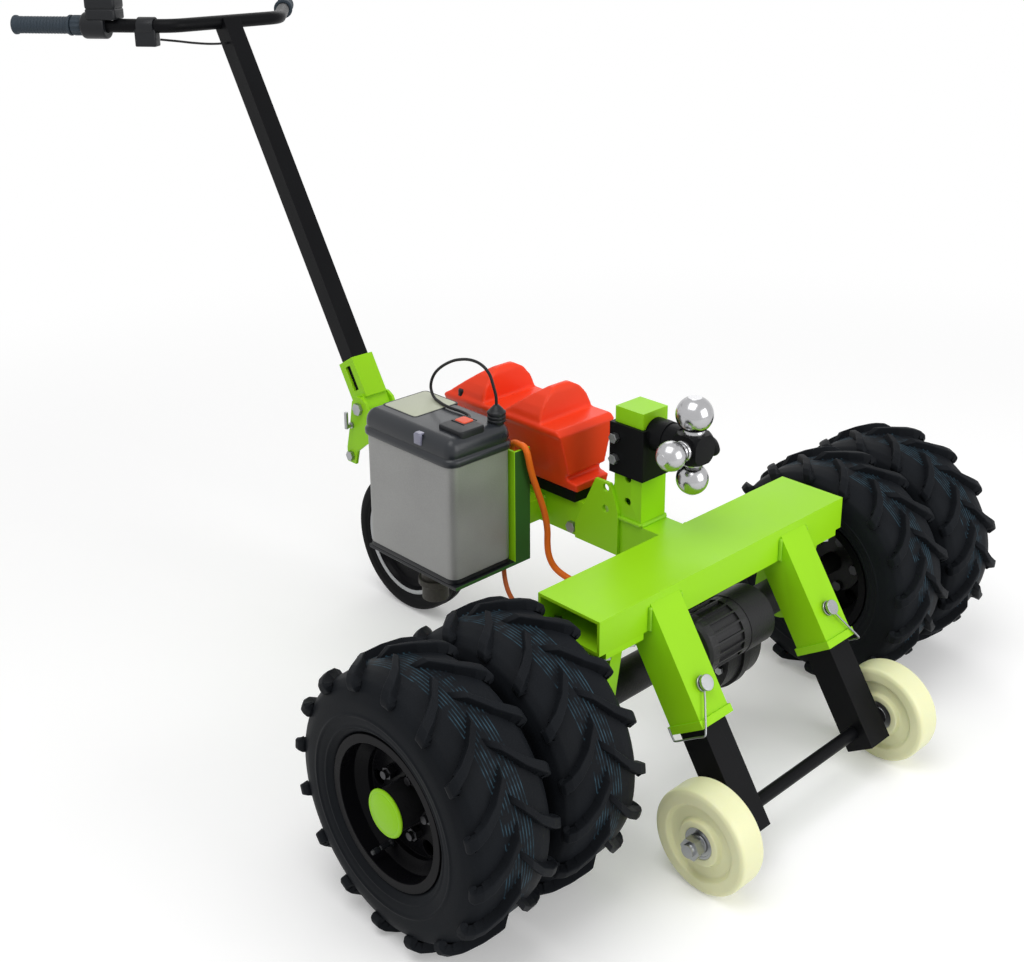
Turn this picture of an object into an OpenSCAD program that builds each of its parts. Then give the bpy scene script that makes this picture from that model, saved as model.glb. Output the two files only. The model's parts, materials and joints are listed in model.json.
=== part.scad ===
// Walk behind electric tug: twin-wheel drive axle, front support wheels, rear castor,
// tri-ball hitch on a post, battery box, control cover and a tilting steering handle.
// Origin on the floor, midway between the drive wheels. +X forward, +Y left, +Z up.

/* [Drive tyres] */
// Diameter over the tread lugs
tyre_across = 406; // [380:2:420]
// Width of the carcass
tyre_wide = 146; // [136:1:150]
// Height of a tread lug
lug_tall = 13; // [9:1:15]
// Width of a tread lug along the tread
lug_wide = 16; // [13:1:20]
// Lugs on each half of the tread
lug_count = 16; // [12:1:18]
// Slant of the lugs' middle ends from the axle line
lug_slant = 50; // [42:1:54]
// Slant of the lugs' outer ends from the axle line
lug_outer_slant = 30; // [24:1:38]
// How far a lug end stands out past the carcass
lug_reach = 4; // [2:0.5:5]
// How far each lug crosses the middle of the tread
lug_cross = 5; // [2:1:8]
// Tyre centre of the inner wheel from the middle of the machine
inner_track = 396; // [390:1:410]
// Distance between the centres of twin wheels
twin_step = 164; // [160:1:180]

/* [Drive rims and axles] */
// Bead seat diameter
bead_across = 203; // [198:1:208]
// Overall width of a rim
rim_wide = 130; // [124:1:134]
// Rim sheet thickness
rim_wall = 4; // [3:0.5:5]
// Height of the rim flange over the bead seat
flange_tall = 9; // [7:0.5:11]
// Depth of the drop centre
well_deep = 16; // [12:1:18]
// Distance of the rim disc from the wheel centre
disc_offset = 18; // [12:1:24]
// Diameter of a vent hole in the disc
vent_across = 22; // [18:1:24]
// Diameter of the circle of vent holes
vent_circle = 136; // [134:1:138]
// Number of vent holes
vent_count = 6; // [5:1:8]
// Wheel studs on each hub
stud_count = 5; // [4:1:6]
// Diameter of the stud circle
stud_circle = 91; // [89:1:92]
// Stud diameter
stud_across = 12; // [10:1:14]
// Diameter of the hub nose through both rims
nose_across = 62; // [56:1:64]
// Diameter of the hub flange and the spacer between the rims
flange_across = 111; // [110:1:112]
// Thickness of the hub flange
flange_thick = 10; // [8:1:14]
// Diameter of the wheel shaft
shaft_across = 35; // [28:1:38]
// Thickness of the domed hub cap
cap_thick = 7; // [5:1:10]

/* [Drive unit] */
// Diameter of the axle tubes
axle_tube_across = 58; // [52:1:64]
// End of an axle tube from the middle of the machine
axle_tube_end = 300; // [290:1:310]
// Wall of an axle tube
axle_tube_wall = 6; // [4:0.5:7]
// Diameter of the gear housing round the axle
gear_across = 168; // [160:1:176]
// Width of the gear housing along the axle
gear_wide = 84; // [76:1:90]
// Place of the gear housing centre along the axle
gear_place = 34; // [28:1:40]
// Motor body diameter
motor_across = 96; // [90:1:100]
// Motor body length
motor_long = 104; // [90:1:110]
// Motor shaft height over the drive axle
motor_rise = 52; // [46:1:56]
// Motor shaft distance in front of the drive axle
motor_ahead = 64; // [58:1:70]
// Number of cooling fins round the motor
fin_count = 18; // [12:1:24]
// Height of a motor fin
fin_tall = 4; // [3:0.5:5]

/* [Cross plate and beam] */
// Length of the cross plate across the machine
plate_long = 592; // [570:1:610]
// Depth of the cross plate from front to rear
plate_deep = 122; // [112:1:130]
// Height of the cross plate
plate_tall = 55; // [50:1:60]
// Height of the top of the cross plate over the floor
plate_top = 386; // [384:1:392]
// Distance of the cross plate's front face from the axle line
plate_front = 75; // [70:1:80]
// Wall of the cross plate
plate_wall = 5; // [4:0.5:6]
// Width of the centre beam
beam_wide = 58; // [54:1:62]
// Height of the centre beam
beam_tall = 64; // [58:1:66]
// Wall of the centre beam
beam_wall = 4; // [3:0.5:5]
// Distance of the beam's rear end behind the axle line
beam_end = 786; // [780:1:788]

/* [Hitch] */
// Distance of the post centre behind the axle line
post_back = 114; // [110:1:118]
// Side of the square post
post_side = 58; // [54:1:58]
// Wall of the post
post_wall = 4; // [3:0.5:5]
// Height of the post top over the floor
post_top = 578; // [574:1:590]
// Height of the carriage
carriage_tall = 86; // [80:1:92]
// Height of the carriage's lower edge over the floor
carriage_low = 466; // [460:1:470]
// Wall of the carriage
carriage_wall = 6; // [5:0.5:6]
// Height of the hitch head centre over the floor
head_high = 539; // [532:1:540]
// Distance of the hitch head centre in front of the post centre
head_ahead = 106; // [100:1:112]
// Side of the hitch head block
head_side = 46; // [42:1:50]
// Diameter of the largest ball
ball_large = 58.7; // [56:0.1:60]
// Diameter of the middle ball
ball_middle = 50.8; // [50:0.1:52]
// Diameter of the smallest ball
ball_small = 47.6; // [46:0.1:48]
// Height of a ball centre over its face of the block
ball_stand = 30; // [28:1:34]
// Diameter of a ball neck
neck_across = 26; // [22:1:28]
// Diameter of the head's spigot
spigot_across = 38; // [34:1:40]

/* [Support legs] */
// Distance of each leg centre from the middle of the machine
leg_track = 157; // [152:1:162]
// Angle of the legs from upright
leg_lean = 33; // [31:0.5:34]
// Side of the square leg
leg_side = 50; // [46:1:52]
// Wall of the leg
leg_wall = 4; // [3:0.5:5]
// Side of the square sleeve
sleeve_side = 64; // [62:1:68]
// Clearance of the leg in its sleeve
leg_gap = 0.5; // [0.3:0.1:0.8]
// Height over the floor of the point where the leg axis is measured
leg_mark_high = 200; // [196:1:204]
// Distance of that point in front of the axle line
leg_mark_ahead = 150; // [146:1:154]
// Length of sleeve below that point
sleeve_below = 4; // [0:1:10]
// Length of leg below that point
leg_below = 172; // [168:1:178]
// Length of leg above that point
leg_above = 130; // [120:1:136]
// Distance of the locking pin above that point
pin_above = 52; // [48:1:58]
// Travel of the legs with the pins in
leg_travel = 40; // [30:1:44]
// Diameter of a locking pin
pin_across = 12; // [10:0.5:13]
// Diameter of a locking pin's head
pin_head_across = 24; // [22:1:26]
// Wire thickness of the pin's bail
bail_wire = 3; // [2.5:0.5:4]

/* [Support wheels] */
// Diameter of a support wheel
nylon_across = 160; // [158:1:162]
// Width of a support wheel
nylon_wide = 50; // [46:1:54]
// Distance of each wheel's centre from the middle of the machine
nylon_track = 228; // [224:1:234]
// Diameter of the rod that both wheels turn on
rod_across = 20; // [18:0.5:20]
// Outside diameter of a wheel bearing
bearing_across = 47; // [44:1:48]
// Width of a wheel bearing
bearing_wide = 14; // [12:1:15]

/* [Rear castor] */
// Diameter of the rear wheel
rear_across = 280; // [276:1:282]
// Width of the rear tyre
rear_wide = 56; // [50:1:60]
// Diameter of the rear rim
rear_rim_across = 214; // [206:1:218]
// Distance of the rear wheel's axle behind the drive axle
rear_back = 697; // [692:1:702]
// Distance from the swivel axis back to the wheel's axle
castor_trail = 42; // [38:1:48]
// Thickness of a castor fork leg
fork_thick = 6; // [5:0.5:8]
// Width of a castor fork leg
fork_wide = 44; // [38:1:48]
// Diameter of the swivel bearing
swivel_across = 74; // [68:1:80]

/* [Battery] */
// Length of the battery case
case_long = 218; // [210:1:224]
// Width of the battery case
case_wide = 130; // [124:1:134]
// Height of the battery case
case_tall = 204; // [196:1:210]
// Height of the case bottom over the floor
case_low = 296; // [294:1:300]
// Distance of the case front behind the axle line
case_back = 271; // [266:1:276]
// Distance of the case's outer side from the middle of the machine
case_out = 264; // [260:1:268]
// Radius of the case's upright edges
case_round = 16; // [12:1:20]
// Height of the lid
lid_tall = 44; // [40:1:48]
// How far the lid stands out past the case
lid_over = 5; // [3:0.5:6]

/* [Control cover] */
// Length of the cover along the beam
cover_long = 292; // [280:1:300]
// Width over the cover's upper edges
cover_wide = 132; // [126:1:140]
// Width of the cover at its foot
cover_foot = 74; // [70:1:80]
// Height of the cover without its domes
cover_tall = 112; // [106:1:118]
// Distance of the cover's front behind the axle line
cover_back = 233; // [228:1:238]
// Length of a hood on the cover
hood_long = 90; // [84:1:94]
// Height of a hood's top over the cover's top
hood_rise = 55; // [50:1:60]

/* [Handle] */
// Height of the tilt hinge over the floor
tilt_high = 392; // [388:1:396]
// Distance of the tilt hinge behind the axle line
tilt_back = 808; // [804:1:812]
// Lean of the handle from upright
handle_lean = 31.2; // [28:0.2:34]
// Side of the square handle tube
tube_side = 38; // [36:1:40]
// Length from the tilt hinge to the handlebar
tube_long = 826; // [800:1:850]
// Height of the handle socket's foot above the hinge
socket_from = 16; // [14:1:20]
// Height of the handle socket's top above the hinge
socket_to = 98; // [90:1:110]
// Diameter of the handlebar
bar_across = 27; // [25:0.5:28]
// Half length of the handlebar's straight middle
bar_half = 98; // [94:1:102]
// Bend radius of the handlebar
bar_bend = 55; // [50:1:60]
// Backward sweep of the handlebar's arms
bar_sweep = 53; // [48:1:56]
// Length of each handlebar arm past its bend
arm_long = 298; // [290:1:304]
// Length of a hand grip
grip_long = 118; // [110:1:122]
// Diameter of a hand grip
grip_across = 34; // [32:0.5:36]

/* [Hidden] */
$fn = 64;
GREEN = [0.60, 0.82, 0.05];
BLACK = [0.05, 0.05, 0.06];
STEEL = [0.62, 0.63, 0.65];

// shared small clearances and overruns
gap = 0.3;
fit = 0.05;
over = 1;

// drive wheels
tyre_radius = tyre_across / 2;
axle_high = tyre_radius;
carcass_radius = tyre_radius - lug_tall;
bead_radius = bead_across / 2;
side_tall = carcass_radius - bead_radius;
// sidewall outline: share of the height over the bead, share of the carcass width
carcass_shares = [[0.113, 0.416], [0.141, 0.445], [0.209, 0.473], [0.322, 0.493],
    [0.469, 0.5], [0.661, 0.493], [0.83, 0.459], [0.932, 0.384], [0.983, 0.26], [1, 0]];
lining_shares = [[0.893, 0], [0.887, 0.164], [0.853, 0.315], [0.774, 0.397],
    [0.638, 0.438], [0.469, 0.445], [0.299, 0.432], [0.164, 0.377], [0.096, 0.301]];
lug_shares = [[0.995, 0.39], [0.97, 0.68], [0.925, 0.86], [0.85, 0.965], [0.77, 0.98],
    [0.7, 0.94], [0.62, 0.857], [0.695, 0.779], [0.793, 0.584]];
lug_root_share = 0.823;
lug_tall_reach = tyre_radius - bead_radius;
lug_half = tyre_wide / 2 + lug_reach;
lug_bend_share = 0.5;
lug_root = tyre_radius * 0.6;
outer_track = inner_track + twin_step;
flange_radius = bead_radius + flange_tall;
well_radius = bead_radius - well_deep;
rim_half = rim_wide / 2;
disc_thick = 6;
bead_wide = rim_wide * 0.16;
nose_radius = nose_across / 2;
nose_end = outer_track + rim_half - cap_thick / 2;
disc_place = inner_track + disc_offset;
disc_outer = outer_track + disc_offset;
lug_pitch = 360 / lug_count;
stud_radius = stud_across / 2;
nut_across = stud_across * 1.6;
nut_tall = stud_across * 0.9;
shaft_gap = 10;
seal_wide = 14;
cap_plug_across = 40;
cap_plug_deep = 8;
hub_low = disc_place - disc_thick / 2;
hub_back = hub_low - flange_thick;
outer_face = disc_outer + disc_thick / 2;

// frame
plate_low = plate_top - plate_tall;
plate_rear = plate_front - plate_deep;
beam_top = plate_top;
beam_low = beam_top - beam_tall;
gusset_thick = 6;
bolt_across = 12;
bolt_radius = bolt_across / 2;
post_hole_across = 13;
post_hole_step = 40;
post_hole_low = 421;
gusset_hole_gap = 13;
cap_plate_thick = 5;

// legs: unit vectors down the leg and out of its front
lean_sin = sin(leg_lean);
lean_cos = cos(leg_lean);
nylon_radius = nylon_across / 2;
rod_high = nylon_radius;
rod_down = (leg_mark_high - rod_high) / lean_cos;
rod_ahead = leg_mark_ahead + rod_down * lean_sin;
sleeve_above = 236;
pin_radius = pin_across / 2;

// cords: routes chosen by hand
power_route = [[-299, -108, 468], [-299, -109, 482], [-294, -111, 492], [-285, -113, 497],
    [-275, -115, 498], [-262, -116, 498], [-256, -116, 492], [-254, -114, 481],
    [-254, -110, 464], [-254, -104, 444], [-254, -98, 428], [-254, -92, 412],
    [-254, -85, 394], [-254, -78, 374], [-254, -73, 354], [-254, -70, 334], [-254, -70, 314],
    [-252, -70, 296], [-247, -68, 280], [-238, -64, 267], [-222, -60, 259], [-200, -57, 255],
    [-170, -54, 253], [-130, -52, 252], [-90, -50, 252], [-50, -48, 253], [-16, -46, 255],
    [3.8, -46, 255]];
power_across = 11;
lead_route = [[-276, -150, 289.8], [-275, -150, 278], [-269, -153, 266], [-258, -158, 256],
    [-244, -163, 249], [-228, -167, 245], [-214, -170, 243]];
lead_across = 8;
// from the middle of the handlebar
thin_route = [[-20, -141, -26], [-16, -128, -28], [-8, -108, -31], [2, -84, -35],
    [12, -60, -38], [20, -42, -39], [24, -28, -39], [24, -12, -39]];
thin_across = 4.5;

// one smooth tube through a list of points
function sub3(a, b) = [a[0] - b[0], a[1] - b[1], a[2] - b[2]];
function unit(v) = v / norm(v);
function way(p, i) = i == 0 ? unit(sub3(p[1], p[0]))
    : i == len(p) - 1 ? unit(sub3(p[i], p[i - 1]))
    : unit(unit(sub3(p[i + 1], p[i])) + unit(sub3(p[i], p[i - 1])));
function side_of(t) = abs(t[2]) < 0.9 ? unit(cross([0, 0, 1], t)) : unit(cross([0, 1, 0], t));
function carry(v, t) = unit(v - (v * t) * t);
function sides(p, i) = i == 0 ? side_of(way(p, 0)) : carry(sides(p, i - 1), way(p, i));
module sweep_tube(p, across, count) {
    rings = [for (i = [0 : len(p) - 1])
        let (t = way(p, i), a = sides(p, i), b = cross(t, a))
        [for (k = [0 : count - 1])
            p[i] + across / 2 * (cos(360 * k / count) * a + sin(360 * k / count) * b)]];
    points = [for (r = rings) for (q = r) q];
    last = (len(p) - 1) * count;
    walls = [for (i = [0 : len(p) - 2]) for (k = [0 : count - 1])
        [i * count + k, i * count + (k + 1) % count,
            (i + 1) * count + (k + 1) % count, (i + 1) * count + k]];
    tris = [for (w = walls) for (h = [[w[0], w[2], w[1]], [w[0], w[3], w[2]]]) h];
    polyhedron(points, concat(tris,
        [[for (k = [0 : count - 1]) k]],
        [[for (k = [count - 1 : -1 : 0]) last + k]]));
}

// a cylinder along Y from one place to another
module bar_y(across, from, to) {
    translate([0, to, 0]) rotate([90, 0, 0]) cylinder(d = across, h = to - from);
}
module hex_y(across, from, to) {
    translate([0, to, 0]) rotate([90, 0, 0]) cylinder(d = across, h = to - from, $fn = 6);
}
// a cylinder along X
module bar_x(across, from, to) {
    translate([from, 0, 0]) rotate([0, 90, 0]) cylinder(d = across, h = to - from);
}
module hex_x(across, from, to) {
    translate([from, 0, 0]) rotate([0, 90, 0]) cylinder(d = across, h = to - from, $fn = 6);
}
// a block from its lower corner to its upper corner
module block(a, b) {
    translate(a) cube([b[0] - a[0], b[1] - a[1], b[2] - a[2]]);
}
// a square tube standing on the XY plane
module square_tube(side, wall, long) {
    translate([-side / 2, -side / 2, 0])
        difference() {
            cube([side, side, long]);
            translate([wall, wall, -over])
                cube([side - 2 * wall, side - 2 * wall, long + 2 * over]);
        }
}
// drawn on the left, at +Y, and mirrored to the right
module right_side() {
    mirror([0, 1, 0]) children();
}

// drive wheels, drawn at the left side of the machine

module at_axle() {
    translate([0, 0, axle_high]) children();
}
module round_y(place) {
    translate([0, place, axle_high]) rotate([-90, 0, 0]) rotate_extrude($fn = 96) children();
}
function flip(list, side) = [for (q = list) [q[0], side * q[1]]];
function backward(list) = [for (i = [len(list) - 1 : -1 : 0]) list[i]];
function tyre_edge(shares) = [for (q = shares)
    [bead_radius + q[0] * side_tall, q[1] * tyre_wide]];
function lug_edge() = [for (q = lug_shares)
    [bead_radius + q[0] * lug_tall_reach, q[1] * lug_half]];

module carcass(place) {
    heel = rim_half - rim_wall;
    seat = bead_radius + fit;
    half = concat([[seat, heel - bead_wide], [seat, heel], [flange_radius + fit, heel]],
        tyre_edge(carcass_shares));
    lining = tyre_edge(lining_shares);
    round_y(place)
        polygon(concat(half, backward(flip(half, -1)),
            backward(flip(lining, -1)), lining));
}
// one lug seen along the tyre's radius: a bar bent at its middle
module lug_bar(side) {
    bend = lug_half * lug_bend_share;
    end = lug_half + over;
    start = -lug_cross;
    low = start * tan(lug_slant);
    mid = bend * tan(lug_slant);
    high = mid + (end - bend) * tan(lug_outer_slant);
    half = lug_wide / 2;
    polygon([for (q = [[start, low - half * 0.7], [bend, mid - half], [end, high - half],
        [end, high + half], [bend, mid + half * 0.95], [start, low + half * 0.7]])
        [-side * q[0], q[1] - mid]]);
}
module lug_ring(place) {
    edge = lug_edge();
    root = [[bead_radius + lug_root_share * lug_tall_reach, 0]];
    intersection() {
        round_y(place)
            polygon(concat([[tyre_radius, 0]], edge, root, backward(flip(edge, -1))));
        translate([0, place, axle_high]) rotate([-90, 0, 0])
            for (k = [0 : lug_count - 1], side = [-1, 1])
                rotate([0, 0, (k + (side > 0 ? 0 : 0.5)) * lug_pitch])
                    translate([lug_root, 0, 0]) rotate([0, 90, 0])
                        linear_extrude(tyre_radius - lug_root + over) lug_bar(side);
    }
}
module drive_tyre(place) {
    color(BLACK) {
        carcass(place);
        lug_ring(place);
    }
}
module rim(place, disc_at) {
    heel = rim_half - rim_wall;
    toe = heel - bead_wide;
    slope = well_deep * 0.7;
    inner = bead_radius - rim_wall;
    bottom = well_radius - rim_wall;
    half = [[flange_radius, rim_half], [flange_radius, heel], [bead_radius, heel],
        [bead_radius, toe], [well_radius, toe - slope]];
    lining = [[bottom, toe - slope], [inner, toe], [inner, rim_half]];
    difference() {
        union() {
            round_y(place)
                polygon(concat(half, backward(flip(half, -1)),
                    backward(flip(lining, -1)), lining));
            at_axle() bar_y(2 * bottom + fit, disc_at - disc_thick / 2, disc_at + disc_thick / 2);
        }
        at_axle() {
            bar_y(nose_across + 2 * fit, disc_at - disc_thick, disc_at + disc_thick);
            for (k = [0 : vent_count - 1])
                rotate([0, k * 360 / vent_count, 0]) translate([vent_circle / 2, 0, 0])
                    bar_y(vent_across, disc_at - disc_thick, disc_at + disc_thick);
            stud_places() bar_y(stud_across + 2 * fit, disc_at - disc_thick, disc_at + disc_thick);
        }
    }
}
module stud_places() {
    for (k = [0 : stud_count - 1])
        rotate([0, k * 360 / stud_count, 0]) translate([stud_circle / 2, 0, 0]) children();
}
module rims() {
    color(BLACK) {
        rim(inner_track, disc_place);
        rim(outer_track, disc_outer);
    }
}
module axle(inner_end) {
    color(STEEL) at_axle() difference() {
        union() {
            bar_y(shaft_across, inner_end, hub_back + over);
            bar_y(flange_across, hub_back, hub_low);
            bar_y(nose_across, hub_low - over, nose_end);
        }
        stud_places() bar_y(stud_across + 2 * fit, hub_back - over, hub_low + over);
        bar_y(cap_plug_across + 2 * fit, nose_end - cap_plug_deep - fit, nose_end + over);
    }
}
module spacer() {
    color(BLACK) at_axle() difference() {
        bar_y(flange_across, disc_place + disc_thick / 2, disc_outer - disc_thick / 2);
        bar_y(nose_across + 2 * fit, disc_place, disc_outer);
        stud_places() bar_y(stud_across + 2 * fit, disc_place, disc_outer);
    }
}
module studs() {
    color(STEEL) at_axle() stud_places() {
        bar_y(stud_across, hub_back - over, outer_face + nut_tall + stud_radius);
        hex_y(nut_across, outer_face, outer_face + nut_tall);
        hex_y(nut_across, hub_back - nut_tall * 0.6, hub_back);
    }
}
module hub_cap() {
    cap_radius = nose_radius + 3.5 * over;
    color(GREEN) at_axle() {
        bar_y(cap_plug_across, nose_end - cap_plug_deep, nose_end + over);
        translate([0, nose_end, 0]) rotate([-90, 0, 0]) rotate_extrude()
            polygon([[0, 0], [cap_radius, 0], [cap_radius, cap_thick * 0.45],
                [cap_radius * 0.9, cap_thick * 0.8], [cap_radius * 0.6, cap_thick],
                [0, cap_thick * 1.15]]);
    }
}

// drive unit

module axle_housing() {
    gear_low = gear_place - gear_wide / 2;
    gear_high = gear_place + gear_wide / 2;
    case_wall = 8;
    arm_long = norm([motor_ahead, motor_rise]);
    arm_lift = atan2(motor_rise, motor_ahead);
    pinion_across = motor_across + 2 * over;
    rib_across = axle_tube_across + 16;
    color(BLACK) at_axle() difference() {
        union() {
            bar_y(gear_across, gear_low, gear_high);
            bar_y(gear_across + 10, gear_place - case_wall, gear_place + case_wall);
            bar_y(gear_across * 0.7, gear_low - case_wall, gear_high + case_wall);
            bar_y(axle_tube_across, -axle_tube_end, axle_tube_end);
            bar_y(rib_across, -axle_tube_end, -axle_tube_end + seal_wide);
            bar_y(rib_across, axle_tube_end - seal_wide, axle_tube_end);
            rotate([0, -arm_lift, 0]) translate([0, motor_end + over, -pinion_across * 0.47])
                cube([arm_long, gear_high - 2 * case_wall - motor_end, pinion_across * 0.94]);
            translate([motor_ahead, 0, motor_rise])
                bar_y(pinion_across, motor_end, gear_high - case_wall);
            translate([motor_ahead, 0, motor_rise])
                bar_y(pinion_across * 0.5, gear_high - case_wall, gear_high);
            translate([-gear_across * 0.28, 0, -gear_across * 0.28])
                bar_y(20, gear_high - over, gear_high + case_wall * 0.6);
        }
        bar_y(gear_across - 2 * case_wall, motor_end + case_wall, gear_high - case_wall);
        translate([motor_ahead, 0, motor_rise])
            bar_y(motor_across + 2 * fit, gear_low - 2 * case_wall, motor_end);
        bar_y(axle_tube_across - 2 * axle_tube_wall, -axle_tube_end + seal_wide,
            axle_tube_end - seal_wide);
        bar_y(shaft_across + 2 * fit, -axle_tube_end - over, axle_tube_end + over);
        translate([motor_ahead, 0, motor_rise])
            bar_y(pinion_across * 0.45, motor_end - over, gear_high - 2 * case_wall);
    }
}
motor_end = 10;
module drive_motor() {
    motor_low = motor_end - motor_long;
    band = motor_long * 0.16;
    color(STEEL) translate([motor_ahead, 0, axle_high + motor_rise]) difference() {
        union() {
            bar_y(motor_across - 2 * fin_tall, motor_low + band, motor_end - fit);
            bar_y(motor_across, motor_end - band, motor_end - fit);
            bar_y(motor_across, motor_low + band * 0.7, motor_low + 1.6 * band);
            translate([0, motor_low + band * 0.7, 0]) rotate([90, 0, 0]) rotate_extrude()
                polygon([[0, 0], [motor_across / 2, 0], [motor_across * 0.46, band * 0.35],
                    [motor_across * 0.36, band * 0.55], [motor_across * 0.3, band * 0.7],
                    [0, band * 0.7]]);
            for (k = [0 : fin_count - 1])
                rotate([0, k * 360 / fin_count, 0])
                    translate([0, motor_low + band, -1.5 * over])
                        cube([motor_across / 2, motor_long - 1.5 * band, 3 * over]);
            rotate([0, 180, 0]) translate([0, lug_place, 0])
                bar_x(22, 0, motor_across / 2 + 12);
        }
        bar_y(motor_across * 0.3, motor_end - 2 * band, motor_end + over);
    }
}
lug_place = -46;

module axle_brackets() {
    color(GREEN) {
        axle_bracket();
        right_side() axle_bracket();
    }
}
bracket_place = 242;
bracket_thick = 24;
bracket_foot = 40;
bracket_flange = 10;
bracket_boss = 88;
bracket_bolt_in = 14;
module axle_bracket() {
    low = bracket_place - bracket_thick / 2;
    translate([0, low + bracket_thick, 0]) rotate([90, 0, 0]) linear_extrude(bracket_thick)
        difference() {
            union() {
                translate([0, axle_high]) circle(d = bracket_boss);
                polygon([[-bracket_boss / 2, axle_high], [bracket_boss / 2, axle_high],
                    [plate_front - bracket_bolt_in, plate_low - bracket_flange],
                    [plate_front - bracket_bolt_in, plate_low - bracket_flange / 2],
                    [plate_rear + bracket_bolt_in, plate_low - bracket_flange / 2],
                    [plate_rear + bracket_bolt_in, plate_low - bracket_flange]]);
            }
            translate([0, axle_high]) circle(d = axle_tube_across + 2 * fit);
        }
    difference() {
        block([plate_rear, bracket_place - bracket_foot, plate_low - bracket_flange],
            [plate_front, bracket_place + bracket_foot, plate_low]);
        bracket_bolt_places()
            translate([0, 0, plate_low - bracket_flange - over])
                cylinder(d = bolt_across + 2 * fit, h = bracket_flange + 2 * over);
    }
}
module bracket_bolt_places() {
    for (x = [plate_rear + bracket_bolt_in, plate_front - bracket_bolt_in],
        y = [bracket_place - bracket_foot + bracket_bolt_in,
            bracket_place + bracket_foot - bracket_bolt_in])
        translate([x, y, 0]) children();
}

// frame

module cross_plate() {
    color(GREEN) difference() {
        block([plate_rear, -plate_long / 2, plate_low], [plate_front, plate_long / 2, plate_top]);
        block([plate_rear + plate_wall, -plate_long / 2 - over, plate_low + plate_wall],
            [plate_front - plate_wall, plate_long / 2 + over, plate_top - plate_wall]);
        both_sides() bracket_bolt_places()
            translate([0, 0, plate_low - over])
                cylinder(d = bolt_across + 2 * fit, h = plate_wall + 2 * over);
    }
}
module both_sides() {
    children();
    right_side() children();
}
cross_bolt_back = 235;
cross_bolt_up = 337;
swivel_back = rear_back - castor_trail;
castor_plate_half = 52;
castor_bolt_in = 10;
module main_beam() {
    color(GREEN) difference() {
        block([-beam_end, -beam_wide / 2, beam_low], [plate_rear, beam_wide / 2, beam_top]);
        block([-beam_end - over, -beam_wide / 2 + beam_wall, beam_low + beam_wall],
            [plate_rear - beam_wall, beam_wide / 2 - beam_wall, beam_top - beam_wall]);
        translate([-cross_bolt_back, 0, cross_bolt_up])
            bar_y(bolt_across + 2 * fit, -beam_wide, beam_wide);
    }
}
// side plates between the beam and the rear of the post
gusset_shares = [[-1.9, 0], [-1.9, 0.22], [-1.12, 1], [-0.56, 1], [-0.26, 0.62], [-0.26, 0]];
gusset_tall = 122;
gusset_hole_x = 156;
gusset_hole_high = 434;
gusset_hole_low = 397;
module gusset_plates() {
    color(GREEN) both_sides()
        translate([0, beam_wide / 2 + gusset_thick, 0]) rotate([90, 0, 0])
            linear_extrude(gusset_thick) difference() {
                polygon([for (q = gusset_shares)
                    [-post_back + q[0] * post_side, beam_low + q[1] * gusset_tall]]);
                for (z = [gusset_hole_low, gusset_hole_high])
                    translate([-gusset_hole_x, z]) circle(d = post_hole_across);
            }
}
module hitch_post() {
    color(GREEN) difference() {
        translate([-post_back, 0, beam_top]) {
            square_tube(post_side, post_wall, post_top - beam_top);
            translate([-post_side / 2, -post_side / 2, post_top - beam_top - cap_plate_thick])
                cube([post_side, post_side, cap_plate_thick]);
        }
        for (k = [0 : 3])
            translate([-post_back, 0, post_hole_low + k * post_hole_step])
                bar_y(post_hole_across, -post_side, post_side);
    }
}

// support legs: drawn along their lean, X to the front face, -Z down the leg

module lean(side) {
    translate([leg_mark_ahead, side * leg_track, leg_mark_high]) rotate([0, -leg_lean, 0])
        children();
}
module hollow(side, bore, from, to) {
    translate([-side / 2, -side / 2, from]) difference() {
        cube([side, side, to - from]);
        translate([(side - bore) / 2, (side - bore) / 2, -over])
            cube([bore, bore, to - from + 2 * over]);
    }
}
sleeve_bore = leg_side + 2 * leg_gap;
collar_tall = 12;
collar_side = sleeve_side + 6;
module leg_sleeves() {
    color(GREEN) for (side = [-1, 1]) difference() {
        lean(side) {
            hollow(sleeve_side, sleeve_bore, -sleeve_below, sleeve_above);
            hollow(collar_side, sleeve_bore, -sleeve_below, -sleeve_below + collar_tall);
        }
        lean(side) translate([0, 0, pin_above]) bar_x(pin_across + 2 * fit, -sleeve_side, sleeve_side);
        block([-leg_mark_high, side * leg_track - sleeve_side, plate_low],
            [plate_front, side * leg_track + sleeve_side, 2 * plate_top]);
    }
}
module support_legs() {
    color(BLACK) for (side = [-1, 1]) lean(side) difference() {
        translate([-leg_side / 2, -leg_side / 2, -leg_below])
            cube([leg_side, leg_side, leg_below + leg_above]);
        translate([-leg_side / 2 + leg_wall, -leg_side / 2 + leg_wall, -leg_below + leg_wall])
            cube([leg_side - 2 * leg_wall, leg_side - 2 * leg_wall, leg_below + leg_above]);
        translate([0, 0, pin_above]) bar_x(pin_across + 2 * fit, -leg_side, leg_side);
        translate([0, 0, pin_above + leg_travel])
            bar_x(pin_across + 2 * fit, -leg_side, leg_side);
        translate([-leg_side, -pin_radius - fit, pin_above])
            cube([2 * leg_side, pin_across + 2 * fit, leg_travel]);
        translate([0, 0, -rod_down]) bar_y(rod_across + 2 * fit, -leg_side, leg_side);
    }
}
rod_half = nylon_track + nylon_wide / 2 + 24;
rod_nut_wide = 14;
rod_nut_across = 34;
module at_rod() {
    translate([rod_ahead, 0, rod_high]) children();
}
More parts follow.
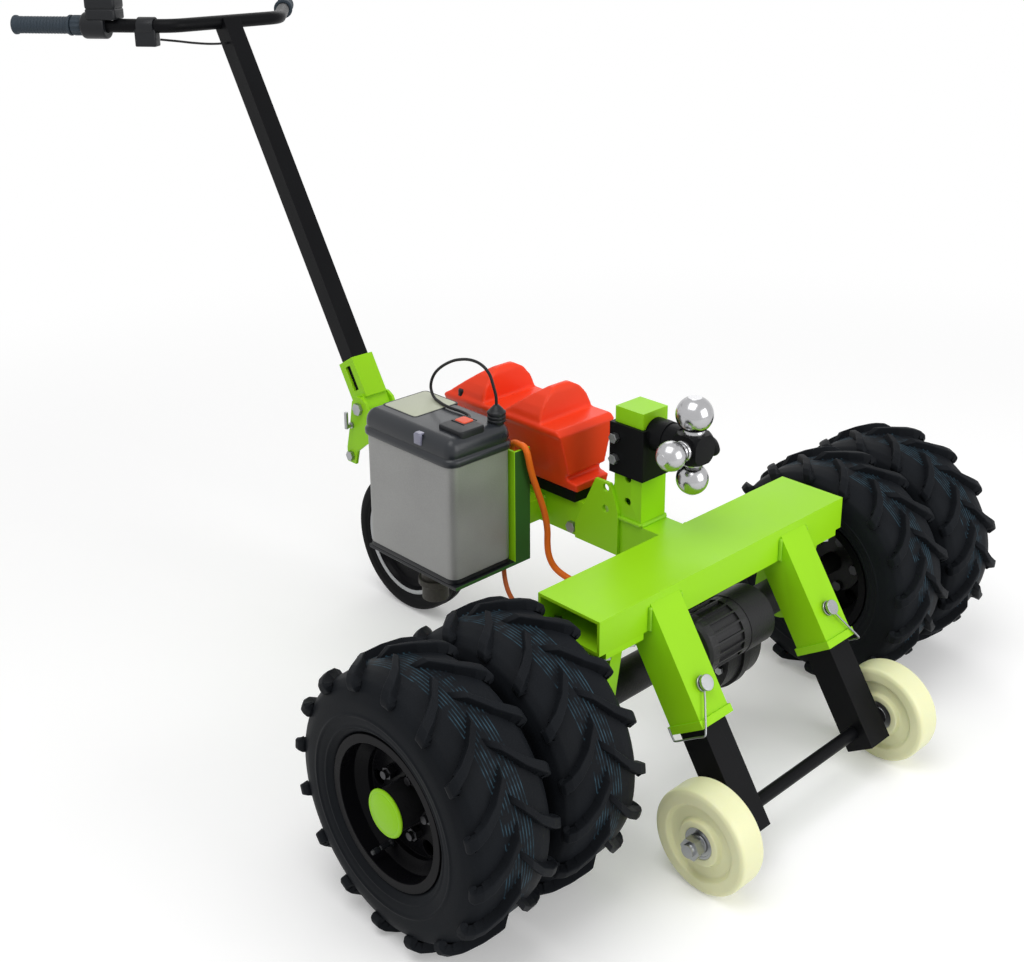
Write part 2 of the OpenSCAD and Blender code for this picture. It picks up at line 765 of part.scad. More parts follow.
module support_rod() {
    leg_inner = leg_track - leg_side / 2;
    leg_outer = leg_track + leg_side / 2;
    hub_inner = nylon_track - nylon_wide / 2;
    hub_outer = nylon_track + nylon_wide / 2;
    color(STEEL) at_rod() {
        bar_y(rod_across, -rod_half, rod_half);
        both_sides() {
            ring_y(rod_across * 1.5, rod_across + 2 * fit, leg_outer, hub_inner);
            ring_y(rod_across * 1.5, rod_across + 2 * fit, hub_outer, hub_outer + 4 * over);
            hex_y(rod_nut_across, hub_outer + 4 * over, hub_outer + 4 * over + rod_nut_wide);
        }
    }
}
module ring_y(outside, inside, from, to) {
    difference() {
        bar_y(outside, from, to);
        bar_y(inside, from - over, to + over);
    }
}
// nylon wheel: a thick disc with a dished groove on each face and a bearing each side
wheel_shares = [[0.36, 0.5], [0.42, 0.5], [0.46, 0.34], [0.68, 0.34], [0.73, 0.5],
    [0.95, 0.5], [1, 0.4]];
module support_wheel() {
    edge = [for (q = wheel_shares) [q[0] * nylon_radius, q[1] * nylon_wide]];
    color([0.9, 0.85, 0.7]) at_rod() difference() {
        translate([0, nylon_track, 0]) rotate([-90, 0, 0]) rotate_extrude($fn = 96)
            polygon(concat([[0, nylon_wide / 2]], edge, backward(flip(edge, -1)),
                [[0, -nylon_wide / 2]]));
        bar_y(rod_across * 1.4, 0, 2 * nylon_track);
        bar_y(bearing_across + 2 * fit, nylon_track - nylon_wide, bearing_low);
        bar_y(bearing_across + 2 * fit, bearing_high, nylon_track + nylon_wide);
    }
}
bearing_low = nylon_track - nylon_wide / 2 + bearing_wide + over;
bearing_high = nylon_track + nylon_wide / 2 - bearing_wide - over;
module bearings() {
    color(STEEL) at_rod() {
        ring_y(bearing_across, rod_across + 2 * fit, bearing_low - bearing_wide, bearing_low);
        ring_y(bearing_across, rod_across + 2 * fit, bearing_high, bearing_high + bearing_wide);
    }
}
// locking pin through sleeve and leg, its bail turning on the neck of its head
pin_collar = 4;
pin_neck_long = bail_wire + 1;
pin_cap = 5;
pin_neck_across = 14;
pin_tip = 8;
pin_face = sleeve_side / 2 + gap;
bail_place = pin_face + pin_collar + pin_neck_long / 2;
module lock_pin(side) {
    color(STEEL) lean(side) translate([0, 0, pin_above]) {
        bar_x(pin_across, -sleeve_side / 2 - pin_tip, pin_face + over);
        bar_x(pin_head_across, pin_face, pin_face + pin_collar);
        bar_x(pin_neck_across, pin_face, pin_face + pin_collar + pin_neck_long + over);
        bar_x(pin_head_across, pin_face + pin_collar + pin_neck_long,
            pin_face + pin_collar + pin_neck_long + pin_cap);
    }
}
bail_long = 75;
bail_spread = 30;
bail_back = 68;
bail_hook = 20;
bail_eye = pin_neck_across / 2 + bail_wire / 2 + fit;
module bail(side) {
    out = bail_long * sin(bail_spread);
    down = bail_long * cos(bail_spread);
    color(STEEL) lean(side) translate([bail_place, 0, pin_above]) mirror([0, side < 0 ? 1 : 0, 0]) {
        rotate([0, 90, 0]) rotate_extrude() translate([bail_eye, 0]) circle(d = bail_wire, $fn = 24);
        rotate([90 + bail_spread + 90, 0, 0]) translate([0, 0, bail_eye])
            cylinder(d = bail_wire, h = bail_long - bail_eye, $fn = 24);
        translate([0, out, -down]) sphere(d = bail_wire, $fn = 24);
        translate([0, out, -down]) rotate([0, -90, 0])
            cylinder(d = bail_wire, h = bail_back, $fn = 24);
        translate([-bail_back, out, -down]) sphere(d = bail_wire, $fn = 24);
        translate([-bail_back, out, -down])
            cylinder(d = bail_wire, h = bail_hook, $fn = 24);
    }
}

// hitch

carriage_half = post_side / 2 + gap + carriage_wall;
head_x = -post_back + head_ahead;
boss_across = 54;
boss_long = 26;
boss_end = -post_back + carriage_half + boss_long;
spigot_end = -post_back + carriage_half + over;
carriage_bolt_across = 10;
module hitch_carriage() {
    color(BLACK) difference() {
        union() {
            translate([-post_back - carriage_half, -carriage_half, carriage_low])
                cube([2 * carriage_half, 2 * carriage_half, carriage_tall]);
            translate([0, 0, head_high])
                bar_x(boss_across, -post_back, boss_end);
        }
        translate([-post_back - post_side / 2 - gap, -post_side / 2 - gap, carriage_low - over])
            cube([post_side + 2 * gap, post_side + 2 * gap, carriage_tall + boss_across]);
        translate([0, 0, head_high]) bar_x(spigot_across + 2 * fit, spigot_end, boss_end + over);
        carriage_bolt_places()
            bar_y(carriage_bolt_across + 2 * fit, -2 * carriage_half, 0);
    }
}
module carriage_bolt_places() {
    for (share = [0.3, 0.72])
        translate([-post_back - carriage_half * 0.62, 0, carriage_low + share * carriage_tall])
            children();
}
module carriage_bolts() {
    color(STEEL) carriage_bolt_places() {
        bar_y(carriage_bolt_across, -carriage_half - 3 * over, -post_side / 2 - gap);
        hex_y(1.7 * carriage_bolt_across, -carriage_half - 9 * over, -carriage_half);
    }
}
hook_across = 20;
hook_bend = 24;
hook_turn = 78;
hook_out = 3;
head_half = head_side / 2;
module hitch_head() {
    color(BLACK) translate([0, 0, head_high]) {
        translate([head_x - head_half, -head_half, -head_half])
            intersection() {
                cube([head_side, head_side, head_side]);
                translate([head_half, head_half, head_half]) sphere(r = head_side * 0.74);
            }
        bar_x(spigot_across, spigot_end + gap, head_x);
        bar_x(boss_across * 0.94, boss_end + gap, head_x - head_half + over);
        translate([head_x, 0, 0]) {
            bar_y(hook_across, 0, head_half + hook_out);
            bar_y(hook_across + 2 * over, 0, head_half + hook_out + over);
            translate([0, head_half + hook_out, -hook_bend]) rotate([0, 90, 0])
                rotate([0, 0, 180 - hook_turn]) rotate_extrude(angle = hook_turn)
                    translate([hook_bend, 0]) circle(d = hook_across);
            translate([0, head_half + hook_out + hook_bend * sin(hook_turn),
                -hook_bend + hook_bend * cos(hook_turn)])
                sphere(d = hook_across + over);
        }
    }
}
module one_ball(across) {
    cylinder(d = neck_across, h = ball_stand);
    cylinder(d = neck_across * 1.3, h = 6 * over);
    translate([0, 0, ball_stand]) difference() {
        sphere(d = across);
        translate([0, 0, across * 0.46]) cylinder(d = across, h = across);
    }
}
module hitch_balls() {
    color(STEEL) translate([head_x, 0, head_high]) {
        translate([0, 0, head_half]) one_ball(ball_large);
        translate([0, 0, -head_half]) rotate([180, 0, 0]) one_ball(ball_middle);
        translate([0, -head_half, 0]) rotate([90, 0, 0]) one_ball(ball_small);
    }
}

// rear castor

rear_radius = rear_across / 2;
crown_low = rear_across + 6;
crown_thick = 12;
race_high = crown_low + crown_thick + 8;
kingpin_across = 20;
kingpin_head = 30;
castor_plate_thick = 8;
rear_hub_half = rear_wide / 2 + 4;
fork_in = rear_hub_half + 4;
rear_axle_across = 16;
module at_swivel() {
    translate([-swivel_back, 0, 0]) children();
}
module at_rear() {
    translate([-rear_back, 0, rear_radius]) children();
}
module castor_bolt_places() {
    for (x = [-1, 1], y = [-1, 1])
        translate([-swivel_back + x * (castor_plate_half - castor_bolt_in),
            y * (castor_plate_half - castor_bolt_in), 0]) children();
}
module castor_mount() {
    color(STEEL) {
        difference() {
            block([-swivel_back - castor_plate_half, -castor_plate_half, beam_low - castor_plate_thick],
                [-swivel_back + castor_plate_half, castor_plate_half, beam_low]);
            castor_bolt_places() translate([0, 0, beam_low - castor_plate_thick - over])
                cylinder(d = bolt_across + 2 * fit, h = 2 * castor_plate_thick);
        }
        at_swivel() {
            translate([0, 0, race_high + gap])
                cylinder(d = swivel_across, h = beam_low - castor_plate_thick - race_high - gap + fit);
            translate([0, 0, crown_low + 2 * over])
                cylinder(d = kingpin_across, h = race_high - crown_low);
            translate([0, 0, crown_low + over]) cylinder(d = kingpin_head, h = 5 * over);
        }
    }
}
module castor_fork() {
    leg_eye = fork_wide / 2;
    color(BLACK) {
        difference() {
            union() {
                block([-rear_back + fork_wide * 0.2, -fork_in - fork_thick, crown_low],
                    [-swivel_back + swivel_across / 2, fork_in + fork_thick, crown_low + crown_thick]);
                at_swivel() translate([0, 0, crown_low])
                    cylinder(d = swivel_across * 0.9, h = race_high - crown_low);
            }
            at_swivel() translate([0, 0, crown_low - over])
                cylinder(d = kingpin_across + 2 * fit, h = race_high);
            at_swivel() translate([0, 0, crown_low - over])
                cylinder(d = kingpin_head + 2 * fit, h = 7 * over + fit);
        }
        both_sides() translate([0, fork_in + fork_thick, 0]) rotate([90, 0, 0])
            linear_extrude(fork_thick) difference() {
                union() {
                    translate([-rear_back, rear_radius]) circle(d = fork_wide);
                    polygon([[-rear_back - leg_eye, rear_radius],
                        [-rear_back + leg_eye, rear_radius],
                        [-swivel_back + swivel_across / 2, crown_low],
                        [-swivel_back + swivel_across / 2, crown_low + crown_thick],
                        [-rear_back + fork_wide * 0.2, crown_low + crown_thick],
                        [-rear_back + fork_wide * 0.2 - 6, crown_low]]);
                }
                translate([-rear_back, rear_radius]) circle(d = rear_axle_across + 2 * fit);
            }
    }
}
module castor_axle() {
    color(STEEL) at_rear() {
        bar_y(rear_axle_across, -fork_in - 2 * fork_thick, fork_in + 2 * fork_thick + 8);
        hex_y(1.6 * rear_axle_across, -fork_in - 2.6 * fork_thick, -fork_in - fork_thick);
        hex_y(1.6 * rear_axle_across, fork_in + fork_thick, fork_in + 2.8 * fork_thick);
        both_sides() ring_y(1.5 * rear_axle_across, rear_axle_across + 2 * fit,
            rear_hub_half + gap, fork_in);
    }
}
rear_rim_radius = rear_rim_across / 2;
module rear_rim() {
    hub_radius = rear_axle_across * 1.3;
    edge = [[rear_rim_radius, rear_wide * 0.4], [rear_rim_radius * 0.9, rear_wide * 0.4],
        [rear_rim_radius * 0.84, rear_wide * 0.14], [hub_radius, rear_wide * 0.2],
        [hub_radius, rear_hub_half]];
    color(BLACK) at_rear() difference() {
        rotate([-90, 0, 0]) rotate_extrude($fn = 96)
            polygon(concat(edge, [[0, rear_hub_half], [0, -rear_hub_half]],
                backward(flip(edge, -1))));
        bar_y(rear_axle_across + 2 * fit, -rear_wide, rear_wide);
    }
}
rear_tyre_shares = [[0, 0.42], [0.3, 0.5], [0.7, 0.5], [0.9, 0.42], [0.98, 0.28], [1, 0.12]];
module rear_tyre() {
    tall = rear_radius - rear_rim_radius;
    edge = [for (q = rear_tyre_shares)
        [rear_rim_radius + fit + q[0] * (tall - fit), q[1] * rear_wide]];
    color(BLACK) at_rear() rotate([-90, 0, 0]) rotate_extrude($fn = 96)
        polygon(concat(edge, backward(flip(edge, -1))));
}

// frame fasteners: hexagon bolts and nuts, each a solid of its own

cheek_thick = 6;
cheek_in = beam_wide / 2;
cheek_out = cheek_in + cheek_thick;
tilt_bolt_across = 16;
cheek_foot_x = 838;
cheek_foot_z = 286;
cap_bolt_count = 5;
cap_bolt_across = 14;
module frame_bolts() {
    head = bolt_across * 1.7;
    head_tall = bolt_across * 0.65;
    low = plate_low - bracket_flange;
    color(STEEL) {
        both_sides() bracket_bolt_places() {
            translate([0, 0, low - head_tall]) cylinder(d = head, h = head_tall, $fn = 6);
            translate([0, 0, low - over])
                cylinder(d = bolt_across, h = bracket_flange + plate_wall + 5 * over);
        }
        translate([-cross_bolt_back, 0, cross_bolt_up]) {
            bar_y(bolt_across, -beam_wide / 2 - over, beam_wide / 2 + head_tall + 3 * over);
            hex_y(head, -beam_wide / 2 - head_tall, -beam_wide / 2);
            hex_y(head, beam_wide / 2, beam_wide / 2 + head_tall);
        }
        castor_bolt_places() {
            translate([0, 0, beam_low - castor_plate_thick - head_tall])
                cylinder(d = head, h = head_tall, $fn = 6);
            translate([0, 0, beam_low - castor_plate_thick - over])
                cylinder(d = bolt_across, h = castor_plate_thick + head_tall + 3 * over);
        }
        translate([-tilt_back, 0, tilt_high]) {
            bar_y(tilt_bolt_across, -cheek_out - over, cheek_out + head_tall + 4 * over);
            hex_y(1.6 * tilt_bolt_across, -cheek_out - head_tall, -cheek_out);
            hex_y(1.6 * tilt_bolt_across, cheek_out, cheek_out + head_tall);
        }
        translate([-cheek_foot_x, 0, cheek_foot_z]) both_sides() {
            hex_y(head, cheek_out, cheek_out + head_tall);
            bar_y(bolt_across, cheek_in - 3 * over, cheek_out + over);
        }
        translate([0, 0, axle_high]) for (k = [0 : cap_bolt_count - 1])
            rotate([0, (k + 0.25) * 360 / (cap_bolt_count + 1), 0])
                translate([gear_across * 0.42, 0, 0])
                    hex_y(cap_bolt_across, gear_place - gear_wide / 2 - 6 * over, gear_place - gear_wide / 2);
    }
}

// battery and its tray

case_front = -case_back;
case_rear = -case_back - case_long;
case_in = case_out - case_wide;
case_high = case_low + case_tall;
case_wall = 3;
shelf_thick = 6;
sheet = 5;
tray_high = 492;
flange_deep = 30;
arm_tall = 40;
arm_wide = 40;
arm_low = 330;
foot_across = 46;
foot_low = 200;
foot_x = 405;
foot_y = 190;
module battery_tray() {
    shelf_low = case_low - shelf_thick;
    back_out = case_in - gap;
    back_in = back_out - sheet;
    color(GREEN) {
        block([case_rear, -case_out, shelf_low], [case_front + 6 * over, -back_in + flange_deep, case_low]);
        block([case_rear, -back_out, case_low - over], [case_front + 6 * over, -back_in, tray_high]);
        for (x = [case_rear, case_front + over])
            block([x, -back_out, case_low - over], [x + sheet, -back_in + flange_deep, tray_high]);
        for (share = [0.22, 0.68])
            block([case_rear + share * case_long, -back_in - over, arm_low],
                [case_rear + share * case_long + arm_wide, -beam_wide / 2, arm_low + arm_tall]);
        translate([-foot_x, -foot_y, foot_low]) {
            cylinder(d = foot_across, h = shelf_low - foot_low + over);
            translate([0, 0, foot_across * 0.6])
                cylinder(d = foot_across * 1.25, h = foot_across * 0.25);
        }
    }
}
module rounded_plan(long, wide, radius) {
    for (x = [radius, long - radius], y = [radius, wide - radius])
        translate([x, y]) circle(r = radius);
    translate([radius, 0]) square([long - 2 * radius, wide]);
    translate([0, radius]) square([long, wide - 2 * radius]);
}
module battery_case() {
    color([0.75, 0.76, 0.78]) translate([case_rear, -case_out, case_low]) difference() {
        linear_extrude(case_tall) rounded_plan(case_long, case_wide, case_round);
        translate([case_wall, case_wall, case_wall]) linear_extrude(case_tall)
            rounded_plan(case_long - 2 * case_wall, case_wide - 2 * case_wall,
                case_round - case_wall);
    }
}
lid_round = case_round + lid_over;
lid_skirt = 12;
plug_x = 289;
plug_y = 150;
plug_across = 30;
panel_long_share = 0.37;
panel_wide_share = 0.7;
panel_thick = 4;
// the charging socket's raised box
socket_long = 56;
socket_wide = 52;
socket_tall = 7;
module battery_lid() {
    long = case_long + 2 * lid_over;
    wide = case_wide + 2 * lid_over;
    top = lid_tall - 6;
    in = case_wall + fit;
    color(BLACK) translate([case_rear - lid_over, -case_out - lid_over, case_high]) difference() {
        union() {
            linear_extrude(lid_tall * 0.45) rounded_plan(long, wide, lid_round);
            translate([lid_over, lid_over, lid_tall * 0.45 - over])
                linear_extrude(lid_tall * 0.4) rounded_plan(case_long, case_wide, case_round);
            translate([1.6 * lid_over, 1.6 * lid_over, lid_tall * 0.7])
                linear_extrude(lid_tall * 0.3)
                    rounded_plan(long - 3.2 * lid_over, wide - 3.2 * lid_over, case_round);
            translate([long - 2.2 * lid_over - socket_long, 6.4 * lid_over, lid_tall - over])
                linear_extrude(socket_tall + over)
                    rounded_plan(socket_long, socket_wide, lid_over);
            translate([lid_over + in, lid_over + in, -lid_skirt])
                linear_extrude(lid_skirt + over)
                    rounded_plan(case_long - 2 * in, case_wide - 2 * in, case_round - in);
        }
        translate([3 * lid_over, 3 * lid_over, -lid_skirt - over])
            linear_extrude(lid_skirt + lid_tall * 0.55)
                rounded_plan(long - 6 * lid_over, wide - 6 * lid_over, case_round - lid_over);
        translate([lid_panel_x, lid_panel_y, lid_tall - panel_thick])
            linear_extrude(panel_thick + over)
                rounded_plan(panel_long, panel_wide, lid_over);
        translate([long - plug_in_x, wide - plug_in_y, lid_tall * 0.8])
            cylinder(d = plug_across * 0.8 + 2 * fit, h = lid_tall);
    }
}
panel_long = case_long * panel_long_share;
panel_wide = case_wide * panel_wide_share;
lid_panel_x = 3.8 * lid_over;
lid_panel_y = 7.4 * lid_over;
plug_in_x = -case_back + lid_over + plug_x;
plug_in_y = plug_y - case_in + lid_over;
module lid_panel() {
    color([0.8, 0.82, 0.82])
        translate([case_rear - lid_over + lid_panel_x + fit, -case_out - lid_over + lid_panel_y + fit,
            case_high + lid_tall - panel_thick])
            linear_extrude(panel_thick + over)
                rounded_plan(panel_long - 2 * fit, panel_wide - 2 * fit, lid_over);
}
plug_top = 572;
// the plug's lead, over and down to the lid
plug_route = [[-289, -150, 566], [-290, -150, 586], [-295, -151, 603], [-302, -151, 618],
    [-312, -152, 628], [-326, -152, 633], [-342, -152, 634], [-358, -152, 632],
    [-373, -152, 628], [-387, -152, 623], [-401, -152, 616], [-414, -152, 608],
    [-426, -152, 599], [-437, -152, 588], [-445, -152, 575], [-447, -153, 562],
    [-441, -155, 552], [-430, -159, 548], [-415, -164, 548], [-400, -168, 548],
    [-385, -170, 548], [-370, -170, 548], [-355, -169, 548], [-340, -170, 548],
    [-328, -174, 548], [-320, -184, 548]];
plug_lead_across = 5;
module battery_plug() {
    base = case_high + lid_tall;
    color(BLACK) {
        translate([-plug_x, -plug_y, case_high + lid_tall * 0.8])
            cylinder(d = plug_across * 0.8, h = lid_tall * 0.2 + over);
        translate([-plug_x, -plug_y, base]) cylinder(d = plug_across, h = (plug_top - base) * 0.7);
        translate([-plug_x, -plug_y, base + (plug_top - base) * 0.7 - over])
            cylinder(d1 = plug_across * 0.8, d2 = plug_lead_across * 1.6,
                h = (plug_top - base) * 0.3 + over);
        sweep_tube(plug_route, plug_lead_across, 8);
    }
}

// control cover on its base

cover_low = 404;
cover_wall = 4;
cover_rear = -cover_back - cover_long;
// outline seen from the side: share of the length back, share of the height up
cover_side_shares = [[-0.05, 0], [-0.05, 0.13], [0.02, 0.16], [0.02, 0.23], [-0.01, 0.27],
    [-0.01, 0.92], [0.02, 1], [0.94, 1], [0.97, 0.95], [1, 0.5], [1, 0]];
// outline seen from the front: share of half the width, share of the height
cover_end_shares = [[0.56, 0], [0.62, 0.2], [0.94, 0.86], [1, 0.92], [1, 0.97], [0.96, 1]];
// the upright front face of each hood: share of the cover's length back
hood_place_shares = [0.16, 0.63];
// hood seen from the side and from the front: share of its length or half width, of its rise
hood_side_shares = [[0, 0], [0.05, 0.8], [0.09, 0.94], [0.15, 1], [0.25, 0.93], [1, 0]];
hood_end_shares = [[0.94, 0], [0.9, 0.22], [0.8, 0.46], [0.6, 0.75], [0.32, 0.94], [0.1, 1]];
module side_cut(list, inset, wide) {
    translate([0, wide, 0]) rotate([90, 0, 0]) linear_extrude(2 * wide)
        polygon([for (q = list) [-cover_back - inset - q[0] * (cover_long - 2 * inset),
            cover_low + q[1] * (cover_tall - inset)]]);
}
module end_cut(inset, from, to) {
    half = [for (q = cover_end_shares) [q[0] * (cover_wide / 2 - inset), q[1] * (cover_tall - inset)]];
    translate([from, 0, cover_low]) rotate([90, 0, 90]) linear_extrude(to - from)
        polygon(concat(half, backward([for (q = half) [-q[0], q[1]]])));
}
// a hood on the cover: an arched upright face in front, sloping down behind
module hood(share, inset) {
    half = cover_wide / 2 - inset;
    front = -cover_back - share * cover_long - inset;
    long = hood_long - 3 * inset;
    rise = hood_rise - inset;
    low = -3 * cover_wall;
    edge = [for (q = hood_end_shares) [half * q[0], rise * q[1]]];
    foot = half * hood_end_shares[0][0];
    translate([front, 0, cover_low + cover_tall]) intersection() {
        translate([0, half, 0]) rotate([90, 0, 0]) linear_extrude(2 * half)
            polygon(concat([[0, low]], [for (q = hood_side_shares) [-long * q[0], rise * q[1]]],
                [[-long, low]]));
        translate([-long - over, 0, 0]) rotate([90, 0, 90]) linear_extrude(long + 2 * over)
            polygon(concat([[foot, low]], edge, backward([for (q = edge) [-q[0], q[1]]]),
                [[-foot, low]]));
    }
}
knob_across = 12;
knob_x = 476;
knob_y = 58;
module controller_cover() {
    color([0.85, 0.20, 0.08]) difference() {
        union() {
            intersection() {
                side_cut(cover_side_shares, 0, cover_wide);
                end_cut(0, cover_rear - over, -cover_back + cover_long * 0.06);
            }
            for (share = hood_place_shares) hood(share, 0);
        }
        intersection() {
            translate([0, 0, -over]) side_cut(cover_side_shares, cover_wall, cover_wide);
            translate([0, 0, -over])
                end_cut(cover_wall, cover_rear - over, -cover_back + cover_long * 0.06);
        }
        for (share = hood_place_shares) hood(share, cover_wall);
    }
    color(BLACK) translate([-knob_x, -knob_y, cover_low + cover_tall]) {
        cylinder(d = knob_across, h = knob_across * 0.5);
        translate([0, 0, knob_across * 0.5]) cylinder(d = knob_across * 0.7, h = knob_across * 0.3);
    }
}
module controller_base() {
    half = cover_foot / 2;
    color(BLACK) difference() {
        union() {
            block([cover_rear, -half, beam_top], [-cover_back + 10, half, cover_low]);
            block([cover_rear + half, -half * 0.6, beam_top], [-cover_back - half, half * 0.6,
                cover_low + cover_tall * 0.55]);
        }
        for (share = [0.1, 0.9])
            translate([cover_rear + share * cover_long, 0, beam_top - over])
                cylinder(d = bolt_across, h = cover_low);
    }
}

// handle: cheeks on the beam, socket and tube drawn along the handle's lean

cheek_shares = [[772, 330], [772, 378], [786, 408], [800, 416], [816, 416], [830, 402],
    [840, 350], [852, 300], [852, 270], [826, 270], [818, 300], [790, 322]];
module handle_cheeks() {
    color(GREEN) both_sides() translate([0, cheek_out, 0]) rotate([90, 0, 0])
        linear_extrude(cheek_thick) difference() {
            polygon([for (q = cheek_shares) [-q[0], q[1]]]);
            translate([-tilt_back, tilt_high]) circle(d = tilt_bolt_across + 2 * fit);
            translate([-cheek_foot_x, cheek_foot_z]) circle(d = bolt_across + 2 * fit);
            translate([-tilt_pin_x, tilt_pin_z]) circle(d = tilt_pin_across + 2 * fit);
        }
}
tilt_pin_x = 832;
tilt_pin_z = 352;
tilt_pin_across = 8;
tilt_pin_grip = 34;
module tilt_pin() {
    color(STEEL) translate([-tilt_pin_x, 0, tilt_pin_z]) {
        bar_y(tilt_pin_across, -cheek_out - 14, -cheek_in + 3 * over);
        translate([0, -cheek_out - 14, -tilt_pin_across / 2])
            cylinder(d = tilt_pin_across, h = tilt_pin_grip);
        bar_y(tilt_pin_across * 1.6, -cheek_out - 4 * over, -cheek_out);
    }
}
module at_handle() {
    translate([-tilt_back, 0, tilt_high]) rotate([0, -handle_lean, 0]) children();
}
socket_side = tube_side + 12;
ear_across = 36;
ear_half = cheek_in - 0.4 * over;
slot_wide = 16;
slot_end = 12;
module handle_socket() {
    bore = tube_side + 2 * fit;
    color(GREEN) at_handle() difference() {
        union() {
            translate([-socket_side / 2, -socket_side / 2, socket_from])
                cube([socket_side, socket_side, socket_to - socket_from]);
            bar_y(ear_across, -ear_half, ear_half);
            translate([-ear_across / 2, -ear_half, 0])
                cube([ear_across, 2 * ear_half, socket_from + 8 * over]);
        }
        translate([-bore / 2, -bore / 2, socket_from + 8 * over]) cube([bore, bore, socket_to]);
        translate([-slot_wide / 2, -socket_side, socket_from + slot_end + 8 * over])
            cube([slot_wide, socket_side, socket_to - socket_from - 2 * slot_end - 8 * over]);
        bar_y(tilt_bolt_across + 2 * fit, -2 * ear_half, 2 * ear_half);
    }
}
cable_hole_down = 46;
cable_hole_across = 5.4;
module handle_tube() {
    color(BLACK) at_handle() difference() {
        translate([0, 0, socket_from + 8 * over])
            square_tube(tube_side, 3, tube_long - socket_from - 8 * over);
        translate([0, 0, tube_long]) bar_y(bar_across + 2 * fit, -tube_side, tube_side);
        translate([0, 0, tube_long - cable_hole_down])
            bar_y(cable_hole_across, -tube_side, 0);
    }
}
module at_bar() {
    translate([-tilt_back - tube_long * sin(handle_lean), 0,
        tilt_high + tube_long * cos(handle_lean)]) children();
}
module arm(side) {
    at_bar()
        translate([-bar_bend + bar_bend * cos(bar_sweep),
            side * (bar_half + bar_bend * sin(bar_sweep)), 0])
            rotate([0, 0, side * (90 + bar_sweep)]) children();
}
module handlebar() {
    wall = 2.5;
    color(BLACK) {
        at_bar() bar_y(bar_across, -bar_half, bar_half);
        at_bar() for (y = [-bar_half, bar_half])
            bar_y(bar_across + over, y - 2 * over, y + 2 * over);
        at_bar() for (side = [-1, 1])
            translate([-bar_bend, side * bar_half, 0]) rotate([0, 0, side < 0 ? -bar_sweep : 0])
                rotate_extrude(angle = bar_sweep) translate([bar_bend, 0]) circle(d = bar_across);
        for (side = [-1, 1]) arm(side) difference() {
            union() {
                bar_x(bar_across, 0, arm_long);
                bar_x(bar_across + over, -2 * over, 2 * over);
            }
            bar_x(bar_across - 2 * wall, over, arm_long + over);
        }
    }
}
rib_long = 26;
grip_from = arm_long - grip_long;
rib_from = grip_from - rib_long;
grip_cap = 4;
module grip_body(from, ribbed) {
    bore = bar_across + 2 * fit;
    difference() {
        union() {
            bar_x(grip_across, grip_from, arm_long + grip_cap);
            bar_x(grip_across * 1.2, grip_from - 2 * over, grip_from + 4 * over);
            bar_x(grip_across * 1.12, arm_long - 4 * over, arm_long + grip_cap);
            if (ribbed) {
                bar_x(grip_across * 1.05, from, grip_from);
                for (k = [0 : 11]) rotate([k * 30, 0, 0])
                    translate([from + over, -1.5 * over, grip_across * 0.45])
                        cube([grip_from - from - 5 * over, 3 * over, grip_across * 0.15]);
            }
        }
        bar_x(bore, from - over, arm_long + fit);
    }
}
module left_grip() {
    color([0.30, 0.42, 0.52]) arm(1) grip_body(grip_from - 2 * over, false);
}
module twist_grip() {
    color([0.30, 0.42, 0.52]) arm(-1) grip_body(rib_from, true);
}
pod_gap = 13;
pod_long = 63;
pod_to = rib_from - pod_gap;
pod_from = pod_to - pod_long;
pod_low = 12;
pod_high = 56;
pod_half = 25;
collar_from = pod_from + pod_long * 0.41;
collar_across = 52;
box_to = 46;
box_half = 13;
box_tall = 26;
rocker_long = 24;
rocker_wide = 13;
rocker_tall = 9;
rocker_pin = 3;
module at_rocker() {
    arm(-1) translate([(pod_from + pod_to) / 2, 0, pod_high]) children();
}
module control_pod() {
    color(BLACK) {
        difference() {
            union() {
                arm(-1) translate([pod_from, -pod_half, pod_low])
                    cube([pod_to - pod_from, 2 * pod_half, pod_high - pod_low]);
                arm(-1) bar_x(collar_across, collar_from, rib_from - gap);
            }
            arm(-1) bar_x(bar_across + 2 * fit, pod_from - over, grip_from);
            at_rocker() {
                translate([-rocker_long / 2 - over, -rocker_wide / 2 - fit, -rocker_tall - 2 * over])
                    cube([rocker_long + 2 * over, rocker_wide + 2 * fit, rocker_tall * 2]);
                translate([0, 0, -rocker_tall / 2])
                    bar_y(rocker_pin + 2 * fit, -rocker_wide, rocker_wide);
            }
        }
        difference() {
            arm(-1) translate([3 * over, -box_half, -bar_across / 2 - box_tall])
                cube([box_to, 2 * box_half, box_tall + bar_across / 2]);
            arm(-1) bar_x(bar_across + 2 * fit, -over, pod_from);
        }
    }
}
module direction_switch() {
    color([0.75, 0.76, 0.78]) at_rocker() {
        translate([0, 0, -rocker_tall / 2]) {
            bar_y(rocker_pin, -rocker_wide * 0.8, rocker_wide * 0.8);
            difference() {
                bar_y(rocker_long * 0.92, -rocker_wide / 2, rocker_wide / 2);
                translate([-rocker_long, -rocker_wide, -rocker_long])
                    cube([2 * rocker_long, 2 * rocker_wide, rocker_long - rocker_tall / 2]);
                translate([-rocker_long, -rocker_wide, rocker_tall * 0.75])
                    cube([2 * rocker_long, 2 * rocker_wide, rocker_long]);
            }
        }
    }
}
module throttle_cable() {
    color(BLACK) at_bar() sweep_tube(thin_route, thin_across, 8);
}
module power_cables() {
    color([0.85, 0.30, 0.08]) {
        sweep_tube(power_route, power_across, 10);
        sweep_tube(lead_route, lead_across, 8);
    }
    color(BLACK) translate(lead_route[len(lead_route) - 1]) rotate([0, 90, 0])
        cylinder(d = 2.2 * lead_across, h = 5 * lead_across);
}

